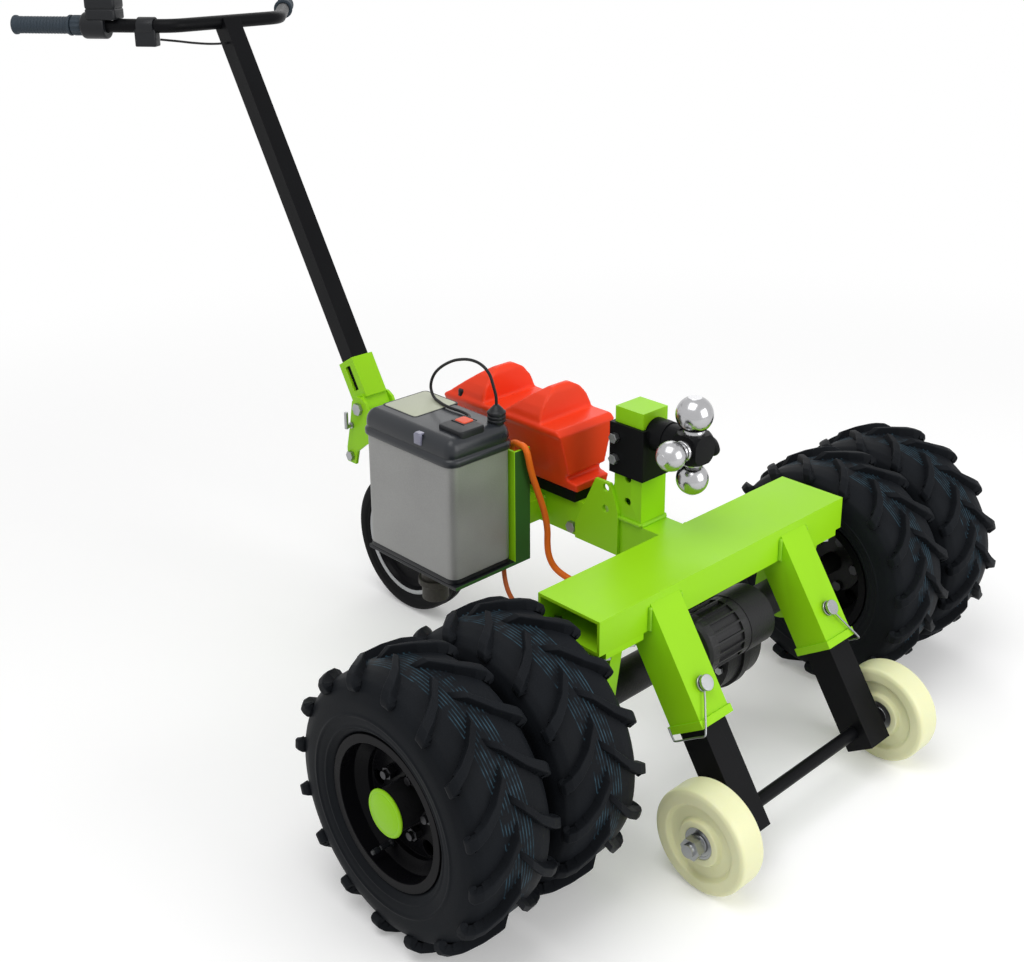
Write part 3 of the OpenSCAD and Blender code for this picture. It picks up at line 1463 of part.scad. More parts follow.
cross_plate();
main_beam();
gusset_plates();
hitch_post();
leg_sleeves();
axle_brackets();
axle_housing();
drive_motor();
frame_bolts();
battery_tray();
controller_base();
controller_cover();
handle_cheeks();
castor_mount();
power_cables();
axle(gear_place + shaft_gap);  // left_axle
spacer();  // left_spacer
studs();  // left_studs
rims();  // left_rims
drive_tyre(inner_track);  // left_inner_tyre
drive_tyre(outer_track);  // left_outer_tyre
hub_cap();  // left_hub_cap
right_side() axle(shaft_gap - gear_place);  // right_axle
right_side() spacer();  // right_spacer
right_side() studs();  // right_studs
right_side() rims();  // right_rims
right_side() drive_tyre(inner_track);  // right_inner_tyre
right_side() drive_tyre(outer_track);  // right_outer_tyre
right_side() hub_cap();  // right_hub_cap
support_legs();
support_rod();
support_wheel();  // left_support_wheel
right_side() support_wheel();  // right_support_wheel
bearings();  // left_bearings
right_side() bearings();  // right_bearings
lock_pin(1);  // left_lock_pin
lock_pin(-1);  // right_lock_pin
bail(1);  // left_bail
bail(-1);  // right_bail
hitch_carriage();
carriage_bolts();
hitch_head();
hitch_balls();
castor_fork();
castor_axle();
rear_rim();
rear_tyre();
battery_case();
battery_lid();
lid_panel();
battery_plug();
tilt_pin();
handle_socket();
handle_tube();
handlebar();
left_grip();
twist_grip();
control_pod();
direction_switch();
throttle_cable();
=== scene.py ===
"""Looks of a walk behind electric tug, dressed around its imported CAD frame.

Every length is in metres in the CAD frame: X forward, Y to the machine's left, Z up, with
the origin on the floor midway between the drive wheels.
"""

import json
import logging
import math
from collections.abc import Callable, Sequence
from dataclasses import dataclass, field
from enum import Enum

import bmesh
import bpy
import numpy as np
from mathutils import Matrix, Vector


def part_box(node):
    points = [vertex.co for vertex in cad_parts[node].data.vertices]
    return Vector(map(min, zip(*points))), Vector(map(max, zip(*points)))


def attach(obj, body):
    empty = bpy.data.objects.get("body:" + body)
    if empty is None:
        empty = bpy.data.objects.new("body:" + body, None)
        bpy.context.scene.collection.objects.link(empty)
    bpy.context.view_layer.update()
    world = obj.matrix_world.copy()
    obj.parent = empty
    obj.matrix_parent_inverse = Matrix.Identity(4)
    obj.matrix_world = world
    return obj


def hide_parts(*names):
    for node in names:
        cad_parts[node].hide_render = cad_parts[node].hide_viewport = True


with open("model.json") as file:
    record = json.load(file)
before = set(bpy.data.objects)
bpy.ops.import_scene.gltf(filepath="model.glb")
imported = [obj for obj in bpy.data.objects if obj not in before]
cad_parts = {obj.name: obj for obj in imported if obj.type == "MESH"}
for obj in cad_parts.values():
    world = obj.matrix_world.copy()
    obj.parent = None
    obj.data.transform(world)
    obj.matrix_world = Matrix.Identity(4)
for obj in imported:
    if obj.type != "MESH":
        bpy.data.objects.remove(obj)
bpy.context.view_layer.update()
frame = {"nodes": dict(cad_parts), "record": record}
LOG = logging.getLogger("tug")
MM = 0.001


# Finishes

WHITE = (1.0, 1.0, 1.0, 1.0)
SLOW_SCALE, SLOW_DETAIL, FINE_DETAIL, FINE_SHARE = 9.0, 3.0, 4.0, 0.35
TONE_STOPS = (0.25, 0.75)
ROUGH_STOPS, ROUGH_SWING, LEAST_ROUGH = (0.3, 0.7), 0.07, 0.02
COAT_ROUGH, BUMP_STRENGTH = 0.15, 0.6
# Edge wear and painted edge highlight: the band of sharp edges that is lightened, and by how
# much.
EDGE_STOPS, EDGE_SHARE = (0.52, 0.62), 0.35
PAINT_WEAR_AND_HIGHLIGHT, OTHER_WEAR_AND_HIGHLIGHT, WEAR_AND_HIGHLIGHT_LIFT = 1.25, 1.5, 0.004
BRUSH_DETAIL, BRUSH_STRETCH = 6.0, (1.0, 1.0, 0.012)
TURNING_SCALE, TURNING_WOBBLE = 120.0, 0.4
BREAK_SCALE, BREAK_DETAIL, BREAK_STOPS = 60.0, 2.0, (0.38, 0.62)


class Grain(Enum):
    """The kind of small surface detail that a finish carries."""

    POWDER = "powder coat"
    RUBBER = "moulded rubber"
    BRUSHED = "brushed sheet"
    CAST = "rough casting"
    MOULDED = "moulded plastic"
    TURNED = "turned nylon"
    PLATED = "zinc plate"
    MIRROR = "polished plate"


@dataclass
class Nodes:
    """A node tree, with short ways to add, feed and link its nodes.

    Args:
        tree: the nodes of a material or of the world.
    """

    tree: bpy.types.NodeTree

    def feed(self, node: bpy.types.Node, inputs: dict) -> bpy.types.Node:
        """Set or link the inputs of a node.

        Args:
            node: the node.
            inputs: by name or number, a socket to link from or a plain value.

        Returns:
            The same node.
        """
        for key, value in inputs.items():
            if isinstance(value, bpy.types.NodeSocket):
                self.tree.links.new(value, node.inputs[key])
            else:
                node.inputs[key].default_value = value
        return node

    def add(self, kind: str, inputs: dict | None = None) -> bpy.types.Node:
        """Add a node of Blender's kind and feed its inputs."""
        return self.feed(self.tree.nodes.new(kind), inputs or {})

    def place(self) -> bpy.types.NodeSocket:
        """The socket with Object coordinates."""
        return self.add("ShaderNodeTexCoord").outputs["Object"]

    def maths(self, kind: str, *values: bpy.types.NodeSocket | float
              ) -> bpy.types.NodeSocket:
        """The result of one operation on up to three sockets or plain numbers.

        Args:
            kind: Blender's name of the operation.
            values: its inputs in order.

        Returns:
            The socket that holds the result.
        """
        node = self.add("ShaderNodeMath")
        node.operation = kind
        return self.feed(node, dict(enumerate(values))).outputs[0]

    def spread(self, value: bpy.types.NodeSocket, stops: tuple[float, float],
               ends: tuple[float, float] = (0.0, 1.0), shape: str = "LINEAR"
               ) -> bpy.types.NodeSocket:
        """A value carried from one range to another and held inside it.

        Args:
            value: the socket to read.
            stops: the range that it is read in.
            ends: what it is at the two stops.
            shape: Blender's name of the curve between them.

        Returns:
            The socket that holds the result.
        """
        node = self.add("ShaderNodeMapRange")
        node.interpolation_type = shape
        return self.feed(node, {0: value, "From Min": stops[0], "From Max": stops[1],
                                "To Min": ends[0], "To Max": ends[1]}).outputs[0]

    def noise(self, place: bpy.types.NodeSocket, scale: float, detail: float,
              stretch: tuple[float, float, float] | None = None) -> bpy.types.NodeSocket:
        """A noise value, its space stretched if asked.

        Args:
            place: coordinates to read.
            scale: features for each metre.
            detail: octaves.
            stretch: scale along each axis.

        Returns:
            The socket that holds the noise.
        """
        if stretch:
            place = self.add("ShaderNodeMapping", {0: place, "Scale": stretch}).outputs[0]
        return self.add("ShaderNodeTexNoise", {"Vector": place, "Scale": scale,
                                               "Detail": detail}).outputs[0]

    def over(self, under: bpy.types.NodeSocket, top: tuple[float, float, float],
             share: bpy.types.NodeSocket) -> bpy.types.NodeSocket:
        """One plain colour laid over another by a share.

        Args:
            under: the colour below.
            top: the linear colour on top.
            share: how much of the top shows.

        Returns:
            The socket with the mixed colour.
        """
        mix = self.add("ShaderNodeMix")
        mix.data_type = "RGBA"
        ends = {socket.identifier: socket for socket in mix.inputs}
        ends["B_Color"].default_value = top + (1.0,)
        self.tree.links.new(under, ends["A_Color"])
        self.tree.links.new(share, ends["Factor_Float"])
        return next(s for s in mix.outputs if s.identifier == "Result_Color")

    def blended(self, share: bpy.types.NodeSocket, under: bpy.types.Node,
                top: bpy.types.Node, end: str) -> None:
        """Send a blend of two shaders to the tree's output.

        Args:
            share: how much of the top shows.
            under: the shader below.
            top: the shader on top.
            end: name of the output node.
        """
        mix = self.add("ShaderNodeMixShader",
                       {0: share, 1: under.outputs[0], 2: top.outputs[0]})
        self.feed(self.tree.nodes[end], {"Surface": mix.outputs[0]})


@dataclass(frozen=True)
class Finish:
    """One surface finish and how its node material is made.

    Args:
        name: material name.
        colour: linear base colour.
        grain: kind of surface detail.
        rough: roughness.
        metal: metallic share.
        coat: clear coat weight.
        vary: how far the colour wanders, as a share.
        bump: height of the detail, in metres.
        scale: size of the detail, in features for each metre.
        shine: share of the mirror light, 0.5 for plain plastic.
    """

    name: str
    colour: tuple[float, float, float]
    grain: Grain
    rough: float = 0.5
    metal: float = 0.0
    coat: float = 0.0
    vary: float = 0.08
    bump: float = 0.0002
    scale: float = 400.0
    shine: float = 0.2

    def tint(self, share: float) -> tuple[float, float, float, float]:
        """The base colour made lighter or darker by a share."""
        return tuple(min(1.0, max(0.0, c * share)) for c in self.colour) + (1.0,)

    def build(self) -> bpy.types.Material:
        """Make the material once and return it.

        Colour: a sum of a slow and a fine noise runs from a darker to a lighter tone of
        the base colour. Roughness: the slow noise moves it a little either way. Bump: the
        grain's own pattern, on Object coordinates.

        Returns:
            The node material.
        """
        title = f"look_{self.name}"
        made = bpy.data.materials.get(title)
        if made:
            return made
        made = bpy.data.materials.new(title)
        made.use_nodes = True
        nodes = Nodes(made.node_tree)
        place = nodes.place()
        slow = nodes.noise(place, SLOW_SCALE, SLOW_DETAIL)
        fine = nodes.noise(place, self.scale, FINE_DETAIL)
        blend = nodes.maths("MULTIPLY_ADD", fine, FINE_SHARE,
                            nodes.maths("MULTIPLY", slow, 1.0 - FINE_SHARE))
        ramp = nodes.add("ShaderNodeValToRGB", {0: blend})
        low, high = ramp.color_ramp.elements
        low.position, high.position = TONE_STOPS
        low.color, high.color = self.tint(1.0 - self.vary), self.tint(1.0 + self.vary)
        bump = nodes.add("ShaderNodeBump", {
            "Distance": self.bump, "Strength": BUMP_STRENGTH,
            "Height": self.pattern(nodes, place, fine)})
        ends = max(LEAST_ROUGH, self.rough - ROUGH_SWING), min(1.0, self.rough + ROUGH_SWING)
        nodes.feed(made.node_tree.nodes["Principled BSDF"], {
            "Base Color": self.worn_and_highlit(nodes, ramp.outputs[0]),
            "Metallic": self.metal, "Roughness": nodes.spread(slow, ROUGH_STOPS, ends),
            "Specular IOR Level": self.shine, "Coat Weight": self.coat,
            "Coat Roughness": COAT_ROUGH, "Normal": bump.outputs[0], **self.extras()})
        return made

    def worn_and_highlit(self, nodes: Nodes, colour: bpy.types.NodeSocket) -> bpy.types.NodeSocket:
        """Lighten the paint, rubber or plastic a little along its sharp edges, as edge wear
        and a painted edge highlight.

        The edge share is the surface's pointiness, cut to a narrow band.

        Args:
            nodes: the material's nodes.
            colour: the colour so far.

        Returns:
            The socket with the worn and highlit colour.
        """
        if self.grain in (Grain.MIRROR, Grain.BRUSHED, Grain.PLATED):
            return colour
        # Painted edge highlight, with edge wear: sharp convex edges get a lighter tone.
        edge = nodes.add("ShaderNodeNewGeometry").outputs["Pointiness"]
        band = nodes.spread(edge, EDGE_STOPS, (0.0, EDGE_SHARE))
        lift = PAINT_WEAR_AND_HIGHLIGHT if self.grain is Grain.POWDER else OTHER_WEAR_AND_HIGHLIGHT
        return nodes.over(colour, tuple(min(1.0, c * lift + WEAR_AND_HIGHLIGHT_LIFT)
                                        for c in self.colour), band)

    def pattern(self, nodes: Nodes, place: bpy.types.NodeSocket,
                fine: bpy.types.NodeSocket) -> bpy.types.NodeSocket:
        """The height pattern of this finish's grain.

        Args:
            nodes: the material's nodes.
            place: Object coordinates.
            fine: the fine noise already made.

        Returns:
            The socket that drives the bump.
        """
        if self.grain is Grain.BRUSHED:
            return nodes.noise(place, self.scale, BRUSH_DETAIL, BRUSH_STRETCH)
        if self.grain is Grain.TURNED:
            wave = nodes.add("ShaderNodeTexWave", {
                "Vector": place, "Scale": TURNING_SCALE, "Distortion": TURNING_WOBBLE})
            wave.wave_type, wave.rings_direction = "RINGS", "Y"
            return wave.outputs[1]
        if self.grain is Grain.CAST:
            return nodes.add("ShaderNodeTexVoronoi",
                             {"Vector": place, "Scale": self.scale}).outputs[0]
        return fine

    def extras(self) -> dict:
        """Inputs of the main shader that only nylon and brushed sheet set.

        Returns:
            Values by the input's name.
        """
        if self.grain is Grain.TURNED:
            return {"Subsurface Weight": 0.25, "Subsurface Radius": (0.01, 0.008, 0.004),
                    "Subsurface Scale": 0.5}
        return {"Anisotropic": 0.4} if self.grain is Grain.BRUSHED else {}


@dataclass(frozen=True)
class LinedRubber(Finish):
    """Tyre rubber with the maker's thin blue setting lines round the bare tread.

    The lines lie at set distances from the tyre's middle plane, on rubber that is lower
    than the lugs, and a noise breaks them.

    Args:
        line: linear colour of the lines.
        places: distance of each line from the tyre's middle, in metres.
        thick: half of a line's width, in metres.
        bare: least depth of the bare tread under the lugs' tops, in metres.
    """

    line: tuple[float, float, float] = (0.030, 0.064, 0.088)
    places: tuple = (0.003, 0.008, 0.013, 0.018, 0.023)
    thick: float = 0.0008
    bare: float = 0.0115

    def worn_and_highlit(self, nodes: Nodes, colour: bpy.types.NodeSocket) -> bpy.types.NodeSocket:
        """The rubber with its edge wear and painted edge highlight, and the lines laid over
        it.

        Distance from the middle plane: | | |y| - mean track | - half the gap of tracks |.
        Height on the tyre: the distance from the axle's line.

        Args:
            nodes: the material's nodes.
            colour: the colour so far.

        Returns:
            The socket with the lined colour.
        """
        base = Finish.worn_and_highlit(self, nodes, colour)
        place = nodes.place()
        along, away, high = nodes.add("ShaderNodeSeparateXYZ", {0: place}).outputs
        for offset in (0.0, (INNER_TRACK + OUTER_TRACK) / 2, (OUTER_TRACK - INNER_TRACK) / 2):
            away = nodes.maths("ABSOLUTE", nodes.maths("SUBTRACT", away, offset))
        up = nodes.maths("SUBTRACT", high, AXLE_HIGH)
        radius = nodes.maths("SQRT", nodes.maths("ADD", nodes.maths("MULTIPLY", along, along),
                                                 nodes.maths("MULTIPLY", up, up)))
        lines = 0.0
        for where in self.places:
            lines = nodes.maths("MAXIMUM", lines,
                                nodes.maths("COMPARE", away, where, self.thick))
        low = nodes.maths("LESS_THAN", radius, TYRE_RADIUS - self.bare)
        broken = nodes.spread(nodes.noise(place, BREAK_SCALE, BREAK_DETAIL), BREAK_STOPS)
        mask = nodes.maths("MULTIPLY", nodes.maths("MULTIPLY", lines, low), broken)
        return nodes.over(base, self.line, mask)


LIME = Finish("lime_powder_coat", (0.290, 0.63, 0.008), Grain.POWDER, 0.38, coat=0.03,
              vary=0.04, bump=0.00012, scale=700.0, shine=0.16)
# Painted shade: a dark green that stands for the shade on the battery tray's forward faces.
PAINTED_SHADE_GREEN = Finish("painted_shade_green_face", (0.030, 0.105, 0.020), Grain.POWDER, 0.5,
                     vary=0.15, bump=0.00012, scale=700.0, shine=0.12)
BLACK_PAINT = Finish("black_powder_coat", (0.0042, 0.0044, 0.0052), Grain.POWDER, 0.38,
                     vary=0.15, bump=0.00012, scale=700.0, shine=0.07)
RIM_BLACK = Finish("rim_gloss_black", (0.0040, 0.0040, 0.0050), Grain.POWDER, 0.32,
                   vary=0.1, bump=0.0001, scale=500.0, shine=0.05)
CASTING = Finish("black_casting", (0.011, 0.011, 0.012), Grain.CAST, 0.45, vary=0.25,
                 bump=0.0004, scale=260.0, shine=0.2)
MOTOR = Finish("motor_casting", (0.014, 0.014, 0.015), Grain.CAST, 0.42, metal=0.1,
               vary=0.2, bump=0.0003, scale=320.0, shine=0.25)
ZINC = Finish("zinc_plate", (0.38, 0.39, 0.40), Grain.PLATED, 0.32, metal=0.95, vary=0.1,
              bump=0.0001, scale=300.0, shine=0.5)
DARK_ZINC = Finish("dark_plate", (0.055, 0.055, 0.060), Grain.PLATED, 0.36, metal=0.8,
                   vary=0.2, bump=0.0001, scale=300.0, shine=0.3)
CHROME = Finish("ball_chrome", (0.44, 0.44, 0.45), Grain.MIRROR, 0.20, metal=1.0,
                vary=0.04, bump=0.00005, scale=250.0, shine=0.5)
TYRE = LinedRubber("tyre_rubber", (0.0085, 0.0098, 0.0120), Grain.RUBBER, 0.55, vary=0.3,
                   bump=0.0003, scale=500.0, shine=0.05)
REAR_RUBBER = Finish("rear_tyre_rubber", (0.0070, 0.0072, 0.0078), Grain.RUBBER, 0.6,
                     vary=0.2, bump=0.0002, scale=500.0, shine=0.06)
NYLON = Finish("cream_nylon", (0.79, 0.795, 0.49), Grain.TURNED, 0.40, coat=0.08,
               vary=0.03, bump=0.00008, shine=0.35)
RED = Finish("red_moulding", (0.86, 0.050, 0.012), Grain.MOULDED, 0.40, coat=0.05,
             vary=0.03, bump=0.00012, scale=600.0, shine=0.2)
SILVER = Finish("brushed_case", (0.31, 0.31, 0.303), Grain.BRUSHED, 0.45, metal=0.45,
                vary=0.20, bump=0.00018, scale=650.0, shine=0.3)
BLACK_PLASTIC = Finish("black_moulding", (0.0095, 0.0105, 0.0125), Grain.MOULDED, 0.40,
                       coat=0.04, vary=0.12, bump=0.00015, scale=800.0, shine=0.22)
LID_BLACK = Finish("lid_moulding", (0.0165, 0.0190, 0.0235), Grain.MOULDED, 0.34,
                   coat=0.08, vary=0.12, bump=0.00015, scale=800.0, shine=0.32)
PANEL = Finish("grey_panel", (0.42, 0.44, 0.335), Grain.MOULDED, 0.45, vary=0.10,
               bump=0.00005, scale=400.0, shine=0.35)
SMOKE = Finish("clear_lavender", (0.20, 0.20, 0.27), Grain.MOULDED, 0.25, coat=0.3,
               vary=0.1, bump=0.00005, scale=400.0, shine=0.4)
SALMON = Finish("socket_cover", (0.72, 0.10, 0.05), Grain.MOULDED, 0.45, vary=0.05,
                bump=0.0001, scale=500.0)
ORANGE = Finish("orange_sleeve", (0.80, 0.15, 0.012), Grain.MOULDED, 0.45, vary=0.06,
                bump=0.0001, scale=500.0)
BROWN = Finish("brown_lead", (0.42, 0.09, 0.02), Grain.MOULDED, 0.45, vary=0.06,
               bump=0.0001, scale=500.0)
CABLE = Finish("black_cable", (0.010, 0.010, 0.011), Grain.RUBBER, 0.45, vary=0.1,
               bump=0.0001, scale=500.0)
GRIP = Finish("blue_grey_grip", (0.030, 0.042, 0.055), Grain.RUBBER, 0.55, vary=0.12,
              bump=0.0002, scale=900.0)
BUFFER = Finish("grey_buffer", (0.060, 0.056, 0.048), Grain.CAST, 0.65, vary=0.35,
                bump=0.0005, scale=240.0)
PALE_RING = Finish("pale_rim_ring", (0.42, 0.43, 0.44), Grain.MOULDED, 0.4, vary=0.05,
                   bump=0.0001, scale=500.0)
WELD = Finish("lime_weld", (0.25, 0.56, 0.012), Grain.POWDER, 0.36, coat=0.1, vary=0.06,
              bump=0.0002, scale=500.0)


# Shapes

# Steps, share of an edge and most length of the roundings

VALVE_SOFT, CAP_SOFT, BEAD_SOFT = (3, 0.3, 0.001), (4, 0.4, 0.001), (3, 0.4, 0.001)
TYRE_SOFT, RING_SOFT, WHEEL_SOFT = (3, 0.4, 0.003), (4, 0.4, 0.002), (5, 0.4, 0.0022)
CASTOR_SOFT, GRIP_SOFT = (3, 0.4, 0.002), (3, 0.4, 0.0012)
PLUG_SOFT, LUG_SOFT = (3, 0.3, 0.0008), (4, 0.45, 0.02)

# Other small sizes of meshes, in metres and degrees

CORNER_POINTS, EDGE_POINTS = 7, 4
LEAST_EDGE, LEAST_CORNER = 1e-5, 0.0006
SAME_POINT, EMPTY_EDGE = 2e-6, 1e-7
FLAT_ANGLE, SOFT_ANGLE, CRISP_ANGLE = 1.5, 32.0, 40.0
BEAD_STEP, BEAD_PITCH, BEAD_RIPPLE = 0.0016, 0.0045, 0.13


def turn(axis: str, degrees: float) -> np.ndarray:
    """A 4 by 4 rotation about one axis."""
    return np.array(Matrix.Rotation(math.radians(degrees), 4, axis))


def shift(x: float, y: float, z: float) -> np.ndarray:
    """A 4 by 4 move, in metres."""
    return np.array(Matrix.Translation((x, y, z)))


@dataclass
class Shell:
    """Vertices and faces of one closed surface, ready to join with others."""

    points: np.ndarray
    faces: list

    def at(self, place: np.ndarray) -> "Shell":
        """The same shell carried to a 4 by 4 place."""
        return Shell(self.points @ place[:3, :3].T + place[:3, 3], self.faces)


def joined(shells: list[Shell]) -> Shell:
    """Several shells as one, their face numbers moved on.

    Args:
        shells: the shells.

    Returns:
        The one shell.
    """
    points, faces, base = [], [], 0
    for one in shells:
        points.append(one.points)
        faces += [tuple(i + base for i in face) for face in one.faces]
        base += len(one.points)
    return Shell(np.vstack(points), faces)


def grid_faces(rows: int, columns: int, wrap_rows: bool, wrap_columns: bool) -> np.ndarray:
    """Quads between neighbouring points of a grid, row by row.

    Args:
        rows: number of rows.
        columns: number of columns.
        wrap_rows: join the last row to the first.
        wrap_columns: join the last column to the first.

    Returns:
        Array of quads.
    """
    i = np.arange(rows if wrap_rows else rows - 1)
    j = np.arange(columns if wrap_columns else columns - 1)
    i, j = np.meshgrid(i, j, indexing="ij")
    a, b = i % rows, (i + 1) % rows
    c, d = j % columns, (j + 1) % columns
    quads = np.stack([a * columns + c, a * columns + d, b * columns + d, b * columns + c], -1)
    return quads.reshape(-1, 4)


def tube_shell(rings: np.ndarray) -> Shell:
    """A closed tube from a stack of rings of points, with one face on each end.

    Args:
        rings: array (rings, points round, 3).

    Returns:
        The shell.
    """
    count, round_count = rings.shape[:2]
    faces = [tuple(q) for q in grid_faces(count, round_count, False, True)]
    faces.append(tuple(range(round_count - 1, -1, -1)))
    faces.append(tuple((count - 1) * round_count + k for k in range(round_count)))
    return Shell(rings.reshape(-1, 3), faces)


def loop_shell(rings: np.ndarray) -> Shell:
    """A closed ring from a stack of rings of points, its last one joined to its first."""
    quads = grid_faces(*rings.shape[:2], True, True)
    return Shell(rings.reshape(-1, 3), [tuple(q) for q in quads])


def lathe(profile: list, sides: int, closed: bool = True) -> Shell:
    """A profile turned about the Y axis.

    A point (r, y) goes to (r cos a, y, r sin a) for every angle a round the axis.

    Args:
        profile: (radius, y) pairs.
        sides: points round.
        closed: the profile's last point joins its first, as for a ring.

    Returns:
        The shell.
    """
    edge = np.asarray(profile, float)
    a = np.linspace(0.0, 2 * math.pi, sides, endpoint=False)
    rings = np.stack([edge[:, :1] * np.cos(a), np.repeat(edge[:, 1:], sides, 1),
                      edge[:, :1] * np.sin(a)], -1)
    return loop_shell(rings) if closed else tube_shell(rings)


def both_sides(half: list) -> list:
    """A half profile of (r, y) pairs, followed by its mirror image in the plane y = 0."""
    return half + [(r, -y) for r, y in reversed(half)]


def rounded(profile: list, steps: int, share: float, cut: float, closed: bool = True
            ) -> list:
    """A profile with each corner replaced by a short curve.

    At a corner P between A and B, points lie on the parabola from P + s(A-P) to P + s(B-P)
    with P as its control point, where s keeps the curve no longer than the cut.

    Args:
        profile: corner points.
        steps: points on each curve.
        share: most of an edge that one curve may take.
        cut: most length that one curve may take, in metres.
        closed: the outline is a loop.

    Returns:
        The rounded profile.
    """
    p = np.asarray(profile, float)
    before, after = np.roll(p, 1, 0), np.roll(p, -1, 0)
    t = np.linspace(0.0, 1.0, steps)[None, :, None]

    def start(other: np.ndarray) -> np.ndarray:
        """Where a corner's curve meets the edge toward a neighbour.

        Args:
            other: the neighbour of each corner.

        Returns:
            One point for each corner.
        """
        way = other - p
        length = np.linalg.norm(way, axis=1, keepdims=True) + 1e-12
        return p + way * np.minimum(share, cut / length)

    a, b = start(before)[:, None], start(after)[:, None]
    curve = (1 - t) ** 2 * a + 2 * t * (1 - t) * p[:, None] + t ** 2 * b
    if not closed:
        middle = curve[1:-1].reshape(-1, p.shape[1])
        return np.vstack([p[:1], middle, p[-1:]]).tolist()
    return curve.reshape(-1, p.shape[1]).tolist()


def spline(points: list, steps: int) -> np.ndarray:
    """A smooth curve through points, by cubic pieces with the neighbours' slope.

    Args:
        points: places to pass.
        steps: points on each piece.

    Returns:
        Array of places along the curve.
    """
    p = np.asarray(points, float)
    p = np.vstack([2 * p[0] - p[1], p, 2 * p[-1] - p[-2]])
    t = np.linspace(0.0, 1.0, steps, endpoint=False)[None, :, None]
    a, b, c, d = (p[k:len(p) - 3 + k, None] for k in range(4))
    curve = 0.5 * (2 * b + (c - a) * t + (2 * a - 5 * b + 4 * c - d) * t ** 2
                   + (3 * b - a - 3 * c + d) * t ** 3)
    return np.vstack([curve.reshape(-1, 3), p[-2:-1]])


def sweep(path: np.ndarray, radius: float | np.ndarray, sides: int,
          up: tuple[float, float, float] = (0.0, 0.0, 1.0)) -> Shell:
    """A round tube along a path.

    Each ring is path + radius (cos a side + sin a over), where side is square to the path
    and to a fixed direction, and over is square to both.

    Args:
        path: places along the tube.
        radius: one radius, or one for each place.
        sides: points round.
        up: a direction that the path never follows.

    Returns:
        The closed shell.
    """
    way = np.gradient(path, axis=0)
    way /= np.linalg.norm(way, axis=1, keepdims=True)
    side = np.cross(np.asarray(up), way)
    side /= np.linalg.norm(side, axis=1, keepdims=True)
    over = np.cross(way, side)
    a = np.linspace(0.0, 2 * math.pi, sides, endpoint=False)[None, :, None]
    size = np.broadcast_to(np.asarray(radius, float), (len(path),))[:, None, None]
    rings = path[:, None] + size * (np.cos(a) * side[:, None] + np.sin(a) * over[:, None])
    return tube_shell(rings)


def plan_loop(long: float, wide: float, radius: float) -> np.ndarray:
    """Points round a rectangle with round corners, centred on the origin.

    Args:
        long: size along X.
        wide: size along Y.
        radius: corner radius.

    Returns:
        Array of (x, y).
    """
    radius = min(radius, long / 2 - LEAST_EDGE, wide / 2 - LEAST_EDGE)
    a = np.linspace(0.0, math.pi / 2, CORNER_POINTS)
    quarter = np.arange(4)[:, None] * math.pi / 2 + a[None]
    sx = np.array([1, -1, -1, 1])[:, None] * (long / 2 - radius)
    sy = np.array([1, 1, -1, -1])[:, None] * (wide / 2 - radius)
    return np.stack([sx + radius * np.cos(quarter), sy + radius * np.sin(quarter)],
                    -1).reshape(-1, 2)


def loft(long: float, wide: float, radius: float, levels: list) -> Shell:
    """A stack of round-cornered outlines, each drawn in by its own amount.

    Args:
        long: size along X.
        wide: size along Y.
        radius: corner radius of the full outline.
        levels: (inset, z) pairs from one end to the other.

    Returns:
        The closed shell.
    """
    rings = []
    for inset, z in levels:
        flat = plan_loop(long - 2 * inset, wide - 2 * inset,
                         max(radius - inset, LEAST_CORNER))
        rings.append(np.column_stack([flat, np.full(len(flat), z)]))
    return tube_shell(np.array(rings))


def soft_box(long: float, wide: float, tall: float, corner: float, edge: float) -> Shell:
    """A box on the XY plane with round upright corners and soft upper and lower edges.

    The edge's inset follows a quarter circle: inset = e (1 - cos a) as z = e (1 - sin a).

    Args:
        long: size along X.
        wide: size along Y.
        tall: height.
        corner: radius of the upright corners.
        edge: radius of the edges.

    Returns:
        The closed shell.
    """
    a = np.linspace(0.0, math.pi / 2, EDGE_POINTS)
    low = list(zip(edge * (1 - np.sin(a)), edge * (1 - np.cos(a))))
    high = [(inset, tall - rise) for inset, rise in reversed(low)]
    return loft(long, wide, corner, low + high)


def stand(name: str, data: bpy.types.ID) -> bpy.types.Object:
    """A new object of the scene that shows this data.

    Args:
        name: the object's name.
        data: the mesh, light or camera that it shows.

    Returns:
        The object.
    """
    obj = bpy.data.objects.new(name, data)
    bpy.context.scene.collection.objects.link(obj)
    return obj


def piece(name: str, shell: Shell, finish: Finish, body: str,
          replaces: tuple[str, ...] = (), sharp: float = 35.0) -> bpy.types.Object:
    """Put a shell in the scene as a piece that rides on a body.

    Args:
        name: the piece's name.
        shell: its surface.
        finish: its material.
        body: the CAD body that it moves with.
        replaces: CAD nodes that it stands for.
        sharp: edges that turn more than this many degrees stay crisp.

    Returns:
        The object.
    """
    mesh = bpy.data.meshes.new(name)
    mesh.from_pydata(shell.points.tolist(), [], shell.faces)
    obj = stand(name, mesh)
    reworked(mesh, face_outward)
    settle(obj, finish, body, replaces, sharp)
    return obj


def reworked(mesh: bpy.types.Mesh, change: Callable[[bmesh.types.BMesh], None]) -> None:
    """Merge a mesh's doubled points, then change it.

    Args:
        mesh: the mesh.
        change: what is done to it once its points are merged.
    """
    work = bmesh.new()
    work.from_mesh(mesh)
    bmesh.ops.remove_doubles(work, verts=work.verts, dist=SAME_POINT)
    change(work)
    work.to_mesh(mesh)
    work.free()


def face_outward(work: bmesh.types.BMesh) -> None:
    """Drop empty faces and turn all faces outward."""
    bmesh.ops.dissolve_degenerate(work, edges=work.edges, dist=EMPTY_EDGE)
    bmesh.ops.recalc_face_normals(work, faces=work.faces)


def join_flat(work: bmesh.types.BMesh) -> None:
    """Join neighbouring faces that lie flat."""
    bmesh.ops.dissolve_limit(work, angle_limit=math.radians(FLAT_ANGLE), verts=work.verts,
                             edges=work.edges)


